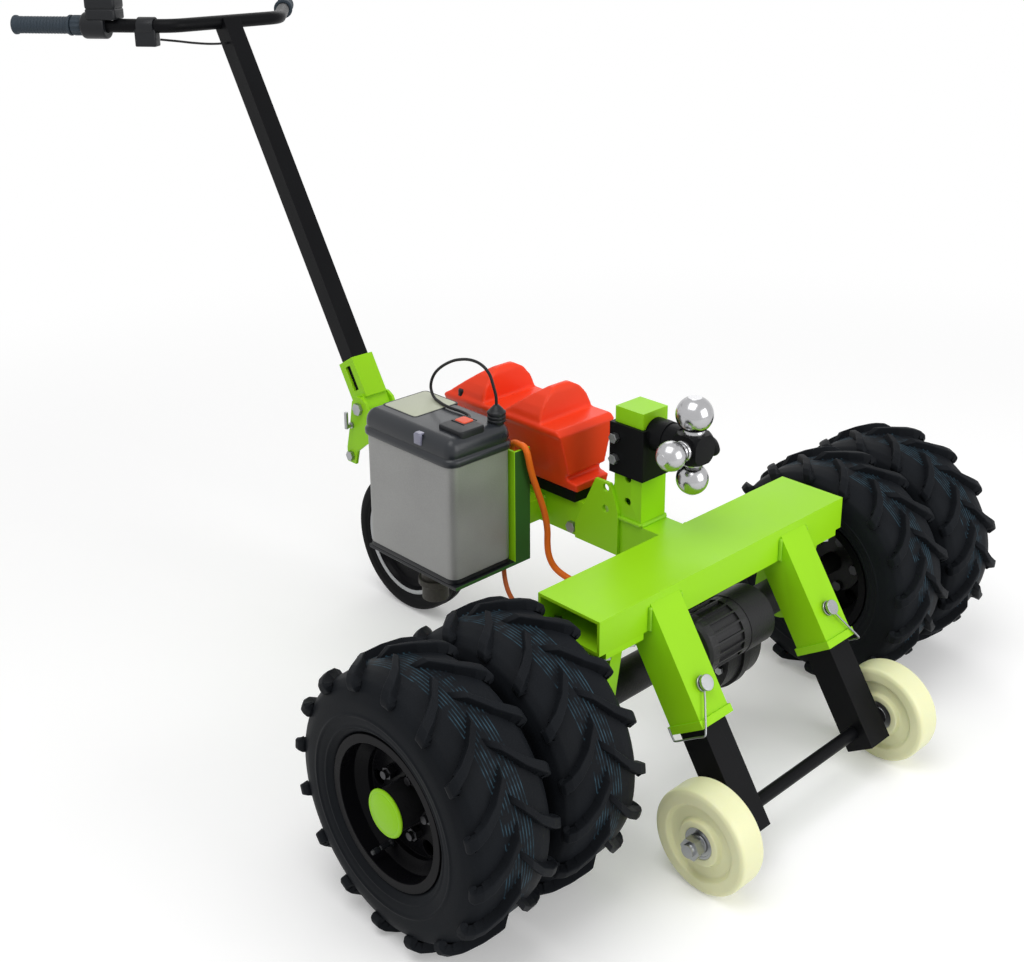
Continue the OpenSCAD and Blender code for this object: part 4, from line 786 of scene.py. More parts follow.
def settle(obj: bpy.types.Object, finish: Finish, body: str,
           replaces: tuple[str, ...], sharp: float) -> None:
    """Give an object its finish, shading, body and place in the record.

    Args:
        obj: the object.
        finish: its material.
        body: the CAD body that it moves with.
        replaces: CAD nodes that it stands for.
        sharp: crisp edge angle, in degrees.
    """
    mesh = obj.data
    mesh.polygons.foreach_set("use_smooth", np.ones(len(mesh.polygons), bool))
    mesh.set_sharp_from_angle(angle=math.radians(sharp))
    mesh.materials.clear()
    mesh.materials.append(finish.build())
    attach(obj, body)
    if replaces:
        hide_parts(*replaces)
    LOG.info("%s: %d points on %s", obj.name, len(mesh.vertices), body)


def body_of(node: str) -> str:
    """The CAD body that a node belongs to."""
    bodies = frame["record"]["behaviour"]["bodies"]
    return next(name for name, nodes in bodies.items() if node in nodes)


def side_name(side: int) -> str:
    """The name of a side of the machine: 1 is its left, -1 its right."""
    return "left" if side > 0 else "right"


def softened(node: str, finish: Finish, width: float, segments: int = 2
             ) -> bpy.types.Object:
    """Stand a copy of a CAD node in its place, with its edges rounded.

    The copy's points are merged and its flat faces joined, and a bevel of the given width
    rounds every edge that turns more than the soft angle.

    Args:
        node: the CAD node.
        finish: its material.
        width: width of the rounding, in metres.
        segments: steps across the rounding.

    Returns:
        The new object.
    """
    mesh = frame["nodes"][node].data.copy()
    mesh.name = node + "_soft"
    obj = stand(node + "_soft", mesh)
    reworked(mesh, join_flat)
    settle(obj, finish, body_of(node), (node,), CRISP_ANGLE)
    bevel = obj.modifiers.new("soft_edges", "BEVEL")
    bevel.width = width
    bevel.segments = segments
    bevel.limit_method = "ANGLE"
    bevel.angle_limit = math.radians(SOFT_ANGLE)
    bevel.use_clamp_overlap = True
    bevel.harden_normals = False
    return obj


def recolour(obj: bpy.types.Object, finish: Finish, chosen: Callable[[Vector], bool]
             ) -> None:
    """Give some faces of a piece a second material.

    Args:
        obj: the piece.
        finish: the second material.
        chosen: says from a face's middle whether it takes the material.
    """
    mesh = obj.data
    mesh.materials.append(finish.build())
    last = len(mesh.materials) - 1
    for face in mesh.polygons:
        if chosen(face.center):
            face.material_index = last


def weld_bead(path: list, radius: float = 0.0032) -> Shell:
    """A weld bead along straight runs, its radius rippled every few millimetres.

    The radius at a distance d is the mean times 1 + ripple |sin(pi d / pitch)|.

    Args:
        path: corners of the run.
        radius: mean radius.

    Returns:
        The shell.
    """
    corners = np.asarray(path, float)
    parts = []
    for a, b in zip(corners[:-1], corners[1:]):
        length = float(np.linalg.norm(b - a))
        count = max(4, int(length / BEAD_STEP))
        t = np.linspace(0.0, 1.0, count)
        line = a + (b - a) * t[:, None]
        wave = np.abs(np.sin(t * length / BEAD_PITCH * math.pi))
        size = radius * (1 + BEAD_RIPPLE * wave)
        size[[0, -1]] *= 0.5
        way = (b - a) / length
        up = (0.0, 0.0, 1.0) if abs(way[2]) < 0.7 else (1.0, 0.0, 0.0)
        parts.append(sweep(line, size, 8, up))
    return joined(parts)


def middle_of(node: str) -> Vector:
    """The middle of a CAD node's box."""
    low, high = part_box(node)
    return (low + high) / 2


# Places read from the CAD nodes

AXLE_HIGH = middle_of("left_inner_tyre").z
INNER_TRACK, OUTER_TRACK = middle_of("left_inner_tyre").y, middle_of("left_outer_tyre").y
REAR_AXLE = middle_of("rear_tyre")
(CASE_REAR, CASE_OUT, CASE_LOW), (CASE_FRONT, CASE_IN, CASE_HIGH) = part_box("battery_case")
TRAY_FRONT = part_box("battery_tray")[1].x

# Sizes shared with the CAD, in metres

TYRE_RADIUS, BEAD_RADIUS, TYRE_HALF = 0.203, 0.1015, 0.073
LUG_REACH = 0.004
FLANGE_RADIUS = 0.1105
LEG_LEAN = 33.0
LEG_MARK = (0.150, 0.157, 0.200)
ROD = (0.2279, 0.080)
NYLON_RADIUS, NYLON_HALF, NYLON_TRACK = 0.080, 0.025, 0.228
HEAD = (-0.008, 0.0, 0.539)
LID_TALL = 0.044
TRAY_FOOT = (-0.405, -0.190)
HINGE = (-0.808, 0.0, 0.392)
HANDLE_LEAN, TUBE_LONG = 31.2, 0.826
BAR_RADIUS, BAR_HALF, BAR_BEND, BAR_SWEEP, ARM_LONG = 0.0135, 0.098, 0.055, 53.0, 0.298
BAR_BORE = BAR_RADIUS + 0.0001
GRIP_LONG, GRIP_RADIUS, GRIP_CAP = 0.118, 0.017, 0.004


def bar_middle() -> Vector:
    """The middle of the handlebar, up the leaning tube from its hinge.

    Returns:
        The place, in metres.
    """
    lean = math.radians(HANDLE_LEAN)
    return Vector((HINGE[0] - TUBE_LONG * math.sin(lean), 0.0,
                   HINGE[2] + TUBE_LONG * math.cos(lean)))


def arm_place(side: int) -> np.ndarray:
    """The frame of one handlebar arm, X along the arm.

    Args:
        side: 1 for the left arm, -1 for the right.

    Returns:
        A 4 by 4 place.
    """
    sweep_angle = math.radians(BAR_SWEEP)
    start = bar_middle() + Vector((
        -BAR_BEND + BAR_BEND * math.cos(sweep_angle),
        side * (BAR_HALF + BAR_BEND * math.sin(sweep_angle)), 0.0))
    return shift(*start) @ turn("Z", side * (90 + BAR_SWEEP))


def leg_place(side: int, up: float) -> np.ndarray:
    """The frame of one leg, X out of its front face and Z up the leg.

    Args:
        side: 1 for the left leg, -1 for the right.
        up: how far up the leg the frame lies from its mark.

    Returns:
        A 4 by 4 place.
    """
    return (shift(LEG_MARK[0], side * LEG_MARK[1], LEG_MARK[2]) @ turn("Y", -LEG_LEAN)
            @ shift(0.0, 0.0, up))


# The studio


@dataclass
class Studio:
    """Camera, floor and lights.

    Lengths are in metres, but the lens and its sensor in millimetres. Each lamp has a name,
    a place, the point that it looks at, a side and watts.
    """

    eye: tuple = (1.228038, -1.550601, 1.35668)
    right: tuple = (0.69066531, 0.72314298, -0.00675704)
    up: tuple = (-0.22975565, 0.22827723, 0.94609822)
    lens: float = 48.7365
    sensor: float = 36.0
    clip_end: float = 100.0
    shift_x: float = -0.003
    shift_y: float = -0.12
    floor_radius: float = 30.0
    floor_corners: int = 64
    floor_level: float = -0.0005
    floor_colour: tuple = (0.88, 0.88, 0.88, 1.0)
    floor_lift: float = 0.19
    fade: tuple = (1.3, 3.2)
    surround: float = 0.55
    lamps: tuple = (("key", (0.1, -1.3, 3.6), (-0.2, 0.0, 0.3), 2.4, 53.0),
                    ("rim", (-2.6, 2.4, 2.8), (-0.3, 0.0, 0.4), 2.0, 16.0),
                    ("fill", (3.2, 0.8, 1.6), (0.0, 0.0, 0.3), 2.4, 56.0))

    def camera(self) -> None:
        """Put the camera where the photograph was taken from."""
        data = bpy.data.cameras.new("camera")
        data.lens = self.lens
        data.sensor_fit = "HORIZONTAL"
        data.sensor_width = self.sensor
        data.shift_x, data.shift_y = self.shift_x, self.shift_y
        data.clip_end = self.clip_end
        obj = stand("camera", data)
        right, up = Vector(self.right).normalized(), Vector(self.up).normalized()
        back = right.cross(up).normalized()
        place = Matrix((right, up, back)).transposed().to_4x4()
        place.translation = Vector(self.eye)
        obj.matrix_world = place
        bpy.context.scene.camera = obj

    def floor(self) -> None:
        """A plain pale floor, a wide disc just under the tyres."""
        a = np.linspace(0.0, 2 * math.pi, self.floor_corners, endpoint=False)
        ring = np.column_stack([self.floor_radius * np.cos(a), self.floor_radius * np.sin(a),
                                np.full(len(a), self.floor_level)])
        mesh = bpy.data.meshes.new("floor")
        mesh.from_pydata(ring.tolist(), [], [tuple(range(len(a)))])
        mesh.materials.append(self.floor_paint())
        stand("floor", mesh)

    def seen(self, nodes: Nodes) -> bpy.types.NodeSocket:
        """A share that is 1 on rays from the camera, off a mirror or through glass.

        Args:
            nodes: the material's or the world's nodes.

        Returns:
            The socket that holds the share.
        """
        path = nodes.add("ShaderNodeLightPath").outputs
        direct = nodes.maths("MAXIMUM", path["Is Camera Ray"], path["Is Glossy Ray"])
        return nodes.maths("MAXIMUM", direct, path["Is Transmission Ray"])

    def floor_paint(self) -> bpy.types.Material:
        """Matt white that keeps the shadow near the part and fades to plain white.

        The fade is a smooth step of the distance from the origin.

        Returns:
            The node material.
        """
        pale = bpy.data.materials.new("pale_floor")
        pale.use_nodes = True
        nodes = Nodes(pale.node_tree)
        seen = self.seen(nodes)
        matt = nodes.feed(pale.node_tree.nodes["Principled BSDF"], {
            "Base Color": self.floor_colour, "Roughness": 0.9, "Specular IOR Level": 0.0,
            "Emission Color": WHITE,
            "Emission Strength": nodes.maths("MULTIPLY", seen, self.floor_lift)})
        away = nodes.add("ShaderNodeVectorMath", {0: nodes.place()})
        away.operation = "LENGTH"
        far = nodes.spread(away.outputs["Value"], self.fade, shape="SMOOTHSTEP")
        nodes.blended(nodes.maths("MULTIPLY", far, seen), matt,
                      nodes.add("ShaderNodeEmission"), "Material Output")
        return pale

    def world(self) -> None:
        """An even surround that looks plain white."""
        world = bpy.data.worlds.new("studio")
        bpy.context.scene.world = world
        world.use_nodes = True
        nodes = Nodes(world.node_tree)
        light = nodes.feed(world.node_tree.nodes["Background"], {0: WHITE, 1: self.surround})
        white = nodes.add("ShaderNodeBackground", {0: WHITE})
        nodes.blended(self.seen(nodes), light, white, "World Output")

    def lamp(self, name: str, place: tuple, aim: tuple, size: float, power: float) -> None:
        """A square soft light that looks at a point.

        Args:
            name: object name.
            place: where it hangs.
            aim: what it looks at.
            size: side, in metres.
            power: watts.
        """
        data = bpy.data.lights.new(name, "AREA")
        data.shape = "SQUARE"
        data.size = size
        data.energy = power
        way = Vector(aim) - Vector(place)
        stand(name, data).matrix_world = Matrix.LocRotScale(
            Vector(place), way.to_track_quat("-Z", "Y"), None)

    def build(self) -> None:
        """Set the whole stage."""
        bpy.context.scene.view_settings.view_transform = "Standard"
        self.camera()
        self.floor()
        self.world()
        for lamp in self.lamps:
            self.lamp(*lamp)


# Cords


@dataclass
class Cord:
    """One cord: its route, its own diameter and what it ends in."""

    name: str
    route: list
    across: float
    finish: Finish
    body: str
    slot: str
    far_end: str
    stiffness: str
    replaces: tuple = ()
    extras: list = field(default_factory=list)

    def build(self) -> bpy.types.Object:
        """Returns:
            The cord's object.
        """
        path = spline(self.route, 6)
        obj = piece(self.name, sweep(path, self.across / 2, 16, (0.21, 0.35, 0.91)),
                    self.finish, self.body, self.replaces)
        return obj


@dataclass
class Wiring:
    """The orange power cable, the battery lead, the plug's lead and the throttle cable.

    The routes are in whole millimetres, the throttle cable's from the handlebar's middle.
    """

    power_across: float = 0.011
    lead_across: float = 0.008
    plug_across: float = 0.005
    thin_across: float = 0.0045
    power_route: tuple = (
        (-299, -108, 468), (-299, -109, 482), (-294, -111, 492), (-285, -113, 497),
        (-275, -115, 498), (-262, -116, 498), (-256, -116, 492), (-254, -114, 481),
        (-254, -110, 464), (-254, -104, 444), (-254, -98, 428), (-254, -92, 412),
        (-254, -85, 394), (-254, -78, 374), (-254, -73, 354), (-254, -70, 334),
        (-254, -70, 314), (-252, -70, 296), (-247, -68, 280), (-238, -64, 267),
        (-222, -60, 259), (-200, -57, 255), (-170, -54, 253), (-130, -52, 252),
        (-90, -50, 252), (-50, -48, 253), (-16, -46, 255), (3.8, -46, 255))
    lead_route: tuple = (
        (-276, -150, 289.8), (-275, -150, 278), (-269, -153, 266), (-258, -158, 256),
        (-244, -163, 249), (-228, -167, 245), (-214, -170, 243))
    thin_route: tuple = (
        (-20, -141, -26), (-16, -128, -28), (-8, -108, -31), (2, -84, -35),
        (12, -60, -38), (20, -42, -39), (24, -28, -39), (24, -12, -39))
    plug_route: tuple = (
        (-289, -150, 566), (-290, -150, 586), (-295, -151, 603), (-302, -151, 618),
        (-312, -152, 628), (-326, -152, 633), (-342, -152, 634), (-358, -152, 632),
        (-373, -152, 628), (-387, -152, 623), (-401, -152, 616), (-414, -152, 608),
        (-426, -152, 599), (-437, -152, 588), (-445, -152, 575), (-447, -153, 562),
        (-441, -155, 552), (-430, -159, 548), (-415, -164, 548), (-400, -168, 548),
        (-385, -170, 548), (-370, -170, 548), (-355, -169, 548), (-340, -170, 548),
        (-328, -174, 548), (-320, -184, 548))

    def metres(self, route: tuple, origin: Sequence[float] = (0.0, 0.0, 0.0)) -> list:
        """A route of whole millimetres as metres from an origin."""
        return (np.asarray(route, float) * MM + np.array(origin)).tolist()

    def connector(self) -> bpy.types.Object:
        """The grey-black inline connector at the lead's end, with grip rings.

        Returns:
            The connector's object.
        """
        end = self.metres(self.lead_route)[-1]
        rings = [(0.0042, -0.012), (0.0050, -0.006), (0.0062, 0.0), (0.0088, 0.001),
                 (0.0088, 0.010), (0.0078, 0.011), (0.0078, 0.014), (0.0088, 0.015),
                 (0.0088, 0.022), (0.0078, 0.023), (0.0078, 0.026), (0.0088, 0.027),
                 (0.0088, 0.038), (0.0070, 0.040)]
        shell = lathe(rounded(rings, *PLUG_SOFT, False), 24, False)
        return piece("lead_connector", shell.at(shift(*end) @ turn("Z", -90)),
                     BLACK_PLASTIC, "frame")

    def plug(self) -> bpy.types.Object:
        """The moulded round plug in the lid, with a ribbed skirt and a boot.

        Returns:
            The plug's object.
        """
        rings = [(0.0118, -0.008), (0.0118, 0.0), (0.0150, 0.0005), (0.0150, 0.004),
                 (0.0138, 0.005), (0.0150, 0.006), (0.0150, 0.010), (0.0138, 0.011),
                 (0.0150, 0.012), (0.0150, 0.017), (0.0118, 0.0195), (0.0100, 0.022),
                 (0.0060, 0.026), (0.0040, 0.028)]
        shell = lathe(rounded(rings, *VALVE_SOFT, False), 40, False)
        x, y, _ = self.metres(self.plug_route)[0]
        place = shift(x, y, CASE_HIGH + LID_TALL) @ turn("X", 90)
        return piece("plug_body", shell.at(place), BLACK_PLASTIC, "battery",
                     ("battery_plug",))

    def build(self) -> None:
        """Make every cord and what it carries."""
        connector, plug = self.connector(), self.plug()
        Cord("power_cable", self.metres(self.power_route), self.power_across, ORANGE,
             "frame", "orange_sleeve", "object", "medium", ("power_cables",)).build()
        Cord("battery_lead", self.metres(self.lead_route), self.lead_across, BROWN,
             "frame", "orange_sleeve", "connector", "medium", ("power_cables",),
             [connector]).build()
        Cord("plug_lead", self.metres(self.plug_route), self.plug_across, CABLE,
             "battery", "black_cable", "object", "stiff", ("battery_plug",), [plug]).build()
        Cord("throttle_lead", self.metres(self.thin_route, bar_middle()), self.thin_across,
             CABLE, "handle", "black_cable", "object", "medium",
             ("throttle_cable",)).build()


# Drive wheels


@dataclass
class DriveTyre:
    """One lugged tyre: a smooth carcass with two staggered rows of bent lugs."""

    track: float
    lug_count: int = 16
    lug_wide: float = 0.016
    slant: float = 50.0
    outer_slant: float = 30.0
    cross: float = 0.005
    bend_share: float = 0.5
    bare_depth: float = 0.013
    inner_rise: float = 0.004
    outer_rise: float = 0.010
    wide_shares: tuple = ((0.0385, 0.98), (0.078, 1.0))
    foot_share: float = 0.72
    depths: tuple = ((0.0, 0.0165), (0.6, 0.015), (1.0, 0.008))
    least_spread: float = 0.90
    outline_shares: tuple = ((1.0, -0.065), (1.0, 0.13), (0.995, 0.39), (0.97, 0.68),
                             (0.925, 0.86), (0.85, 0.965), (0.77, 0.98), (0.70, 0.94),
                             (0.64, 0.88))
    carcass_shares: tuple = ((0.085, 0.400), (0.113, 0.416), (0.141, 0.445),
                             (0.209, 0.473), (0.225, 0.484), (0.245, 0.484), (0.262, 0.480),
                             (0.322, 0.493), (0.40, 0.4985), (0.415, 0.508), (0.445, 0.508),
                             (0.46, 0.500), (0.56, 0.499), (0.661, 0.493), (0.83, 0.459),
                             (0.932, 0.384), (0.983, 0.26), (0.996, 0.13), (1.0, 0.0))

    def carcass(self) -> Shell:
        """The tyre's body, turned from its sidewall outline on both sides.

        Returns:
            The closed shell.
        """
        tall = TYRE_RADIUS - self.bare_depth - BEAD_RADIUS
        half = [(BEAD_RADIUS + r * tall, w * 2 * TYRE_HALF) for r, w in self.carcass_shares]
        toe = [(BEAD_RADIUS + 0.0001, 0.045), (BEAD_RADIUS + 0.0001, 0.0605),
               (FLANGE_RADIUS - 0.001, 0.0605)]
        outside = toe + half + [(r, -w) for r, w in reversed(toe + half[:-1])]
        inside = [(BEAD_RADIUS + 0.012, -0.048), (BEAD_RADIUS + 0.045, -0.064),
                  (BEAD_RADIUS + 0.076, -0.04), (BEAD_RADIUS + 0.079, 0.0),
                  (BEAD_RADIUS + 0.076, 0.04), (BEAD_RADIUS + 0.045, 0.064),
                  (BEAD_RADIUS + 0.012, 0.048)]
        return lathe(rounded(outside + inside, *TYRE_SOFT), 144)

    def lug_line(self, y: np.ndarray) -> np.ndarray:
        """How far the lug's middle lies along the tread at each place across.

        The bar leans at the first slant up to its bend and at the second past it, and is
        zero at the bend.

        Args:
            y: places across the tread.

        Returns:
            Places along the tread.
        """
        bend = self.bend_share * (TYRE_HALF + LUG_REACH)
        inner = (y - bend) * math.tan(math.radians(self.slant))
        outer = (y - bend) * math.tan(math.radians(self.outer_slant))
        return np.where(y < bend, inner, outer)

    def one_lug(self) -> np.ndarray:
        """Rings of one lug in (radius, across, along the tread), ready to be placed.

        Each ring is cut along the tread: up one flank, over the rounded top and down the
        other. The flanks spread by a fifth of the height, and the first and last rings
        sink, so that both ends are rounded.

        Returns:
            Array (rings, points, 3).
        """
        outline = np.array(rounded(list(self.outline_shares), *LUG_SOFT, False))
        r = BEAD_RADIUS + outline[:, 0] * (TYRE_RADIUS - BEAD_RADIUS)
        y = outline[:, 1] * (TYRE_HALF + LUG_REACH)
        step = np.gradient(np.column_stack([r, y]), axis=0)
        inward = np.column_stack([-step[:, 1], step[:, 0]])
        inward /= np.linalg.norm(inward, axis=1, keepdims=True)
        travel = np.concatenate([[0.0], np.cumsum(np.linalg.norm(np.diff(
            np.column_stack([r, y]), axis=0), axis=1))])
        rise_in = np.clip(travel / self.inner_rise, 0.0, 1.0)
        rise_out = np.clip((travel[-1] - travel) / self.outer_rise, 0.0, 1.0)
        rise = np.sin(np.minimum(rise_in, rise_out) * math.pi / 2)
        half = self.lug_wide / 2 * np.interp(
            y, *zip((-self.cross, self.foot_share), *self.wide_shares))
        deep = np.interp(travel / travel[-1], *zip(*self.depths))
        section = np.array([(1.22, 1.0), (1.10, 0.55), (1.0, 0.16), (0.955, 0.06),
                            (0.86, 0.012), (0.7, 0.0), (0.35, 0.0), (0.0, 0.0)])
        section = np.vstack([section, (section * (-1, 1))[-2::-1]])
        sink = (section[None, :, 1] + (1 - rise[:, None]) * (1 - section[None, :, 1]))
        sink = sink * deep[:, None]
        spread = section[None, :, 0] * half[:, None] * (
            self.least_spread + (1 - self.least_spread) * rise[:, None])
        return np.stack([r[:, None] + inward[:, :1] * sink, y[:, None] + inward[:, 1:] * sink,
                         self.lug_line(y)[:, None] + spread], -1)

    def lugs(self) -> Shell:
        """Both rows of lugs.

        A point at radius r and w along the tread lies at the angle of its lug plus
        asin(w / r), which goes to (r cos, y, -r sin) from the axle.

        Returns:
            The closed shell.
        """
        rings = self.one_lug()
        shells = []
        for side in (1, -1):
            turns = (np.arange(self.lug_count) + (0.0 if side > 0 else 0.5)) / self.lug_count
            for angle in turns * 2 * math.pi:
                r, y, w = rings[..., 0], rings[..., 1] * side, rings[..., 2]
                way = angle + np.arcsin(w / r)
                shells.append(tube_shell(np.stack([r * np.cos(way), y, -r * np.sin(way)], -1)))
        return joined(shells)

    def build(self, name: str, mirror: int, body: str, node: str) -> None:
        """Make the tyre at its track.

        Args:
            name: the piece's name.
            mirror: 1 for the left side of the machine, -1 for the right.
            body: the body that it turns with.
            node: the CAD node that it stands for.
        """
        for part, shell, sharp in (("carcass", self.carcass(), 50.0),
                                   ("lugs", self.lugs(), 60.0)):
            shell.points = (shell.points + (0.0, self.track, AXLE_HIGH)) * (1, mirror, 1)
            piece(f"{name}_{part}", shell, TYRE, body, (node,), sharp)


@dataclass
class DriveWheel:
    """A pair of twin wheels on one hub."""

    side: int
    nose_end: float = 0.6215
    valve_radius: float = 0.081
    valve_out: float = 0.034
    valve_angle: float = 250.0

    @property
    def name(self) -> str:
        """The side's name."""
        return side_name(self.side)

    def put(self, name: str, shell: Shell, finish: Finish,
            replaces: tuple[str, ...] = (), sharp: float = 35.0) -> None:
        """Place a shell drawn round the axle at +Y on this side.

        Args:
            name: the piece's name without its side.
            shell: the shell.
            finish: its material.
            replaces: CAD nodes that it stands for.
            sharp: crisp edge angle, in degrees.
        """
        shell.points = (shell.points + (0.0, 0.0, AXLE_HIGH)) * (1, self.side, 1)
        piece(f"{self.name}_{name}", shell, finish, f"{self.name}_drive", replaces,
              sharp)

    def hub_cap(self) -> None:
        """The domed green cap, with a rolled edge and a shallow ring."""
        end = self.nose_end
        rings = [(0.0, end), (0.0330, end), (0.0344, end + 0.0012), (0.0344, end + 0.0030),
                 (0.0325, end + 0.0046), (0.0300, end + 0.0050), (0.0292, end + 0.0044),
                 (0.0280, end + 0.0052), (0.0210, end + 0.0068), (0.0100, end + 0.0078),
                 (0.0, end + 0.0080)]
        self.put("cap_dome", lathe(rounded(rings, *CAP_SOFT, False), 72, False), LIME,
                 (f"{self.name}_hub_cap",), 50.0)

    def valve(self) -> None:
        """The rubber valve stem with its cap, through the outer rim's well."""
        angle = math.radians(self.valve_angle)
        rings = [(0.0062, 0.0), (0.0058, 0.003), (0.0042, 0.006), (0.0040, 0.020),
                 (0.0030, 0.021), (0.0030, 0.023), (0.0041, 0.0235), (0.0041, 0.032),
                 (0.0030, 0.034)]
        shell = lathe(rounded(rings, *VALVE_SOFT, False), 20, False)
        shell = shell.at(shift(self.valve_radius * math.cos(angle),
                               OUTER_TRACK + self.valve_out,
                               self.valve_radius * math.sin(angle)))
        self.put("valve", shell, BLACK_PLASTIC)

    def build(self) -> None:
        """Dress the twin wheels, hub, nuts, cap and valve."""
        body = f"{self.name}_drive"
        for where, track in (("inner", INNER_TRACK), ("outer", OUTER_TRACK)):
            DriveTyre(track).build(f"{self.name}_{where}", self.side, body,
                                   f"{self.name}_{where}_tyre")
        softened(f"{self.name}_rims", RIM_BLACK, 0.0012)
        softened(f"{self.name}_studs", DARK_ZINC, 0.0007)
        softened(f"{self.name}_axle", CASTING, 0.0010)
        softened(f"{self.name}_spacer", BLACK_PAINT, 0.0012)
        self.hub_cap()
        self.valve()


# Support legs


@dataclass
class SupportLegs:
    """The sliding legs, their wheels on one rod, and the locking pins with bails."""

    pin_above: float = 0.052
    sleeve_half: float = 0.032
    bail_wire: float = 0.003
    bail_long: float = 0.075
    bail_spread: float = 30.0
    bail_back: float = 0.068
    bail_hook: float = 0.020
    eye_radius: float = 0.0086
    eye_gap: float = 0.15
    eye_points: int = 28
    neck_out: float = 0.0063
    web_half: float = 0.0105
    dish_half: float = 0.017
    seal_sunk: float = 0.0012
    seal_deep: float = 0.013
    seal_step: float = 0.0006

    def wheel(self, side: int) -> None:
        """A cream nylon wheel with dished faces and softly turned rims.

        Args:
            side: 1 for the left of the machine, -1 for the right.
        """
        name = side_name(side)
        r, h = NYLON_RADIUS, NYLON_HALF
        dish, web = self.dish_half, self.web_half
        half = [(0.0236, h - self.seal_deep), (0.0236, h), (0.0336, h), (0.0368, dish),
                (0.0544, dish), (0.0584, h), (0.0735, h), (0.0785, h * 0.9),
                (r, h * 0.72), (r, h * 0.3)]
        shell = lathe(rounded(both_sides(half), *WHEEL_SOFT), 128)
        hub = lathe([(0.0142, -web), (0.0142, web), (0.030, web), (0.030, -web)], 64)
        place = shift(ROD[0], side * NYLON_TRACK, ROD[1])
        piece(f"{name}_nylon", joined([shell, hub]).at(place), NYLON,
              f"{name}_front_wheel", (f"{name}_support_wheel",), 50.0)
        seals = []
        for way in (-1, 1):
            face = way * (h - self.seal_sunk)
            low, back = face - way * self.seal_step, face - way * self.seal_deep
            seals.append(lathe([(0.0101, face), (0.0135, face), (0.0140, low),
                                (0.0195, low), (0.0200, face), (0.0234, face),
                                (0.0234, back), (0.0101, back)], 48))
        piece(f"{name}_bearing_pair", joined(seals).at(place), ZINC,
              f"{name}_front_wheel", (f"{name}_bearings",))

    def bail(self, side: int) -> None:
        """The wire bail: an eye round the pin's neck, an arm, a bend back and a hook.

        Args:
            side: 1 for the left of the machine, -1 for the right.
        """
        name = side_name(side)
        out = self.bail_long * math.sin(math.radians(self.bail_spread))
        down = self.bail_long * math.cos(math.radians(self.bail_spread))
        eye = self.eye_radius
        a = math.atan2(out, -down) + np.linspace(
            self.eye_gap, 2 * math.pi - self.eye_gap, self.eye_points)
        ring = [(0.0, eye * math.sin(t), eye * math.cos(t)) for t in a]
        arm = [(0.0, out * s, -down * s) for s in (0.3, 0.6, 0.9)]
        back = [(-x, out, -down) for x in (0.003, 0.02, 0.045, self.bail_back - 0.003)]
        hook = [(-self.bail_back, out, rise - down) for rise in (0.004, self.bail_hook)]
        path = spline(ring + arm + back + hook, 5)
        shell = sweep(path, self.bail_wire / 2, 10, (0.31, 0.77, 0.55))
        shell.points = shell.points * (1, side, 1)
        place = leg_place(side, self.pin_above) @ shift(self.sleeve_half + self.neck_out,
                                                        0, 0)
        piece(f"{name}_bail_wire", shell.at(place), ZINC, f"{name}_pin_bail",
              (f"{name}_bail",))

    def build(self) -> None:
        """Dress legs, sleeves, rod, wheels and pins."""
        softened("leg_sleeves", LIME, 0.0030, 3)
        softened("support_legs", BLACK_PAINT, 0.0030, 3)
        rod = softened("support_rod", BLACK_PAINT, 0.0010)
        recolour(rod, ZINC, lambda p: abs(p.y) > NYLON_TRACK - NYLON_HALF)
        for side in (1, -1):
            self.wheel(side)
            self.bail(side)
            softened(f"{side_name(side)}_lock_pin", ZINC, 0.0007)


# Frame


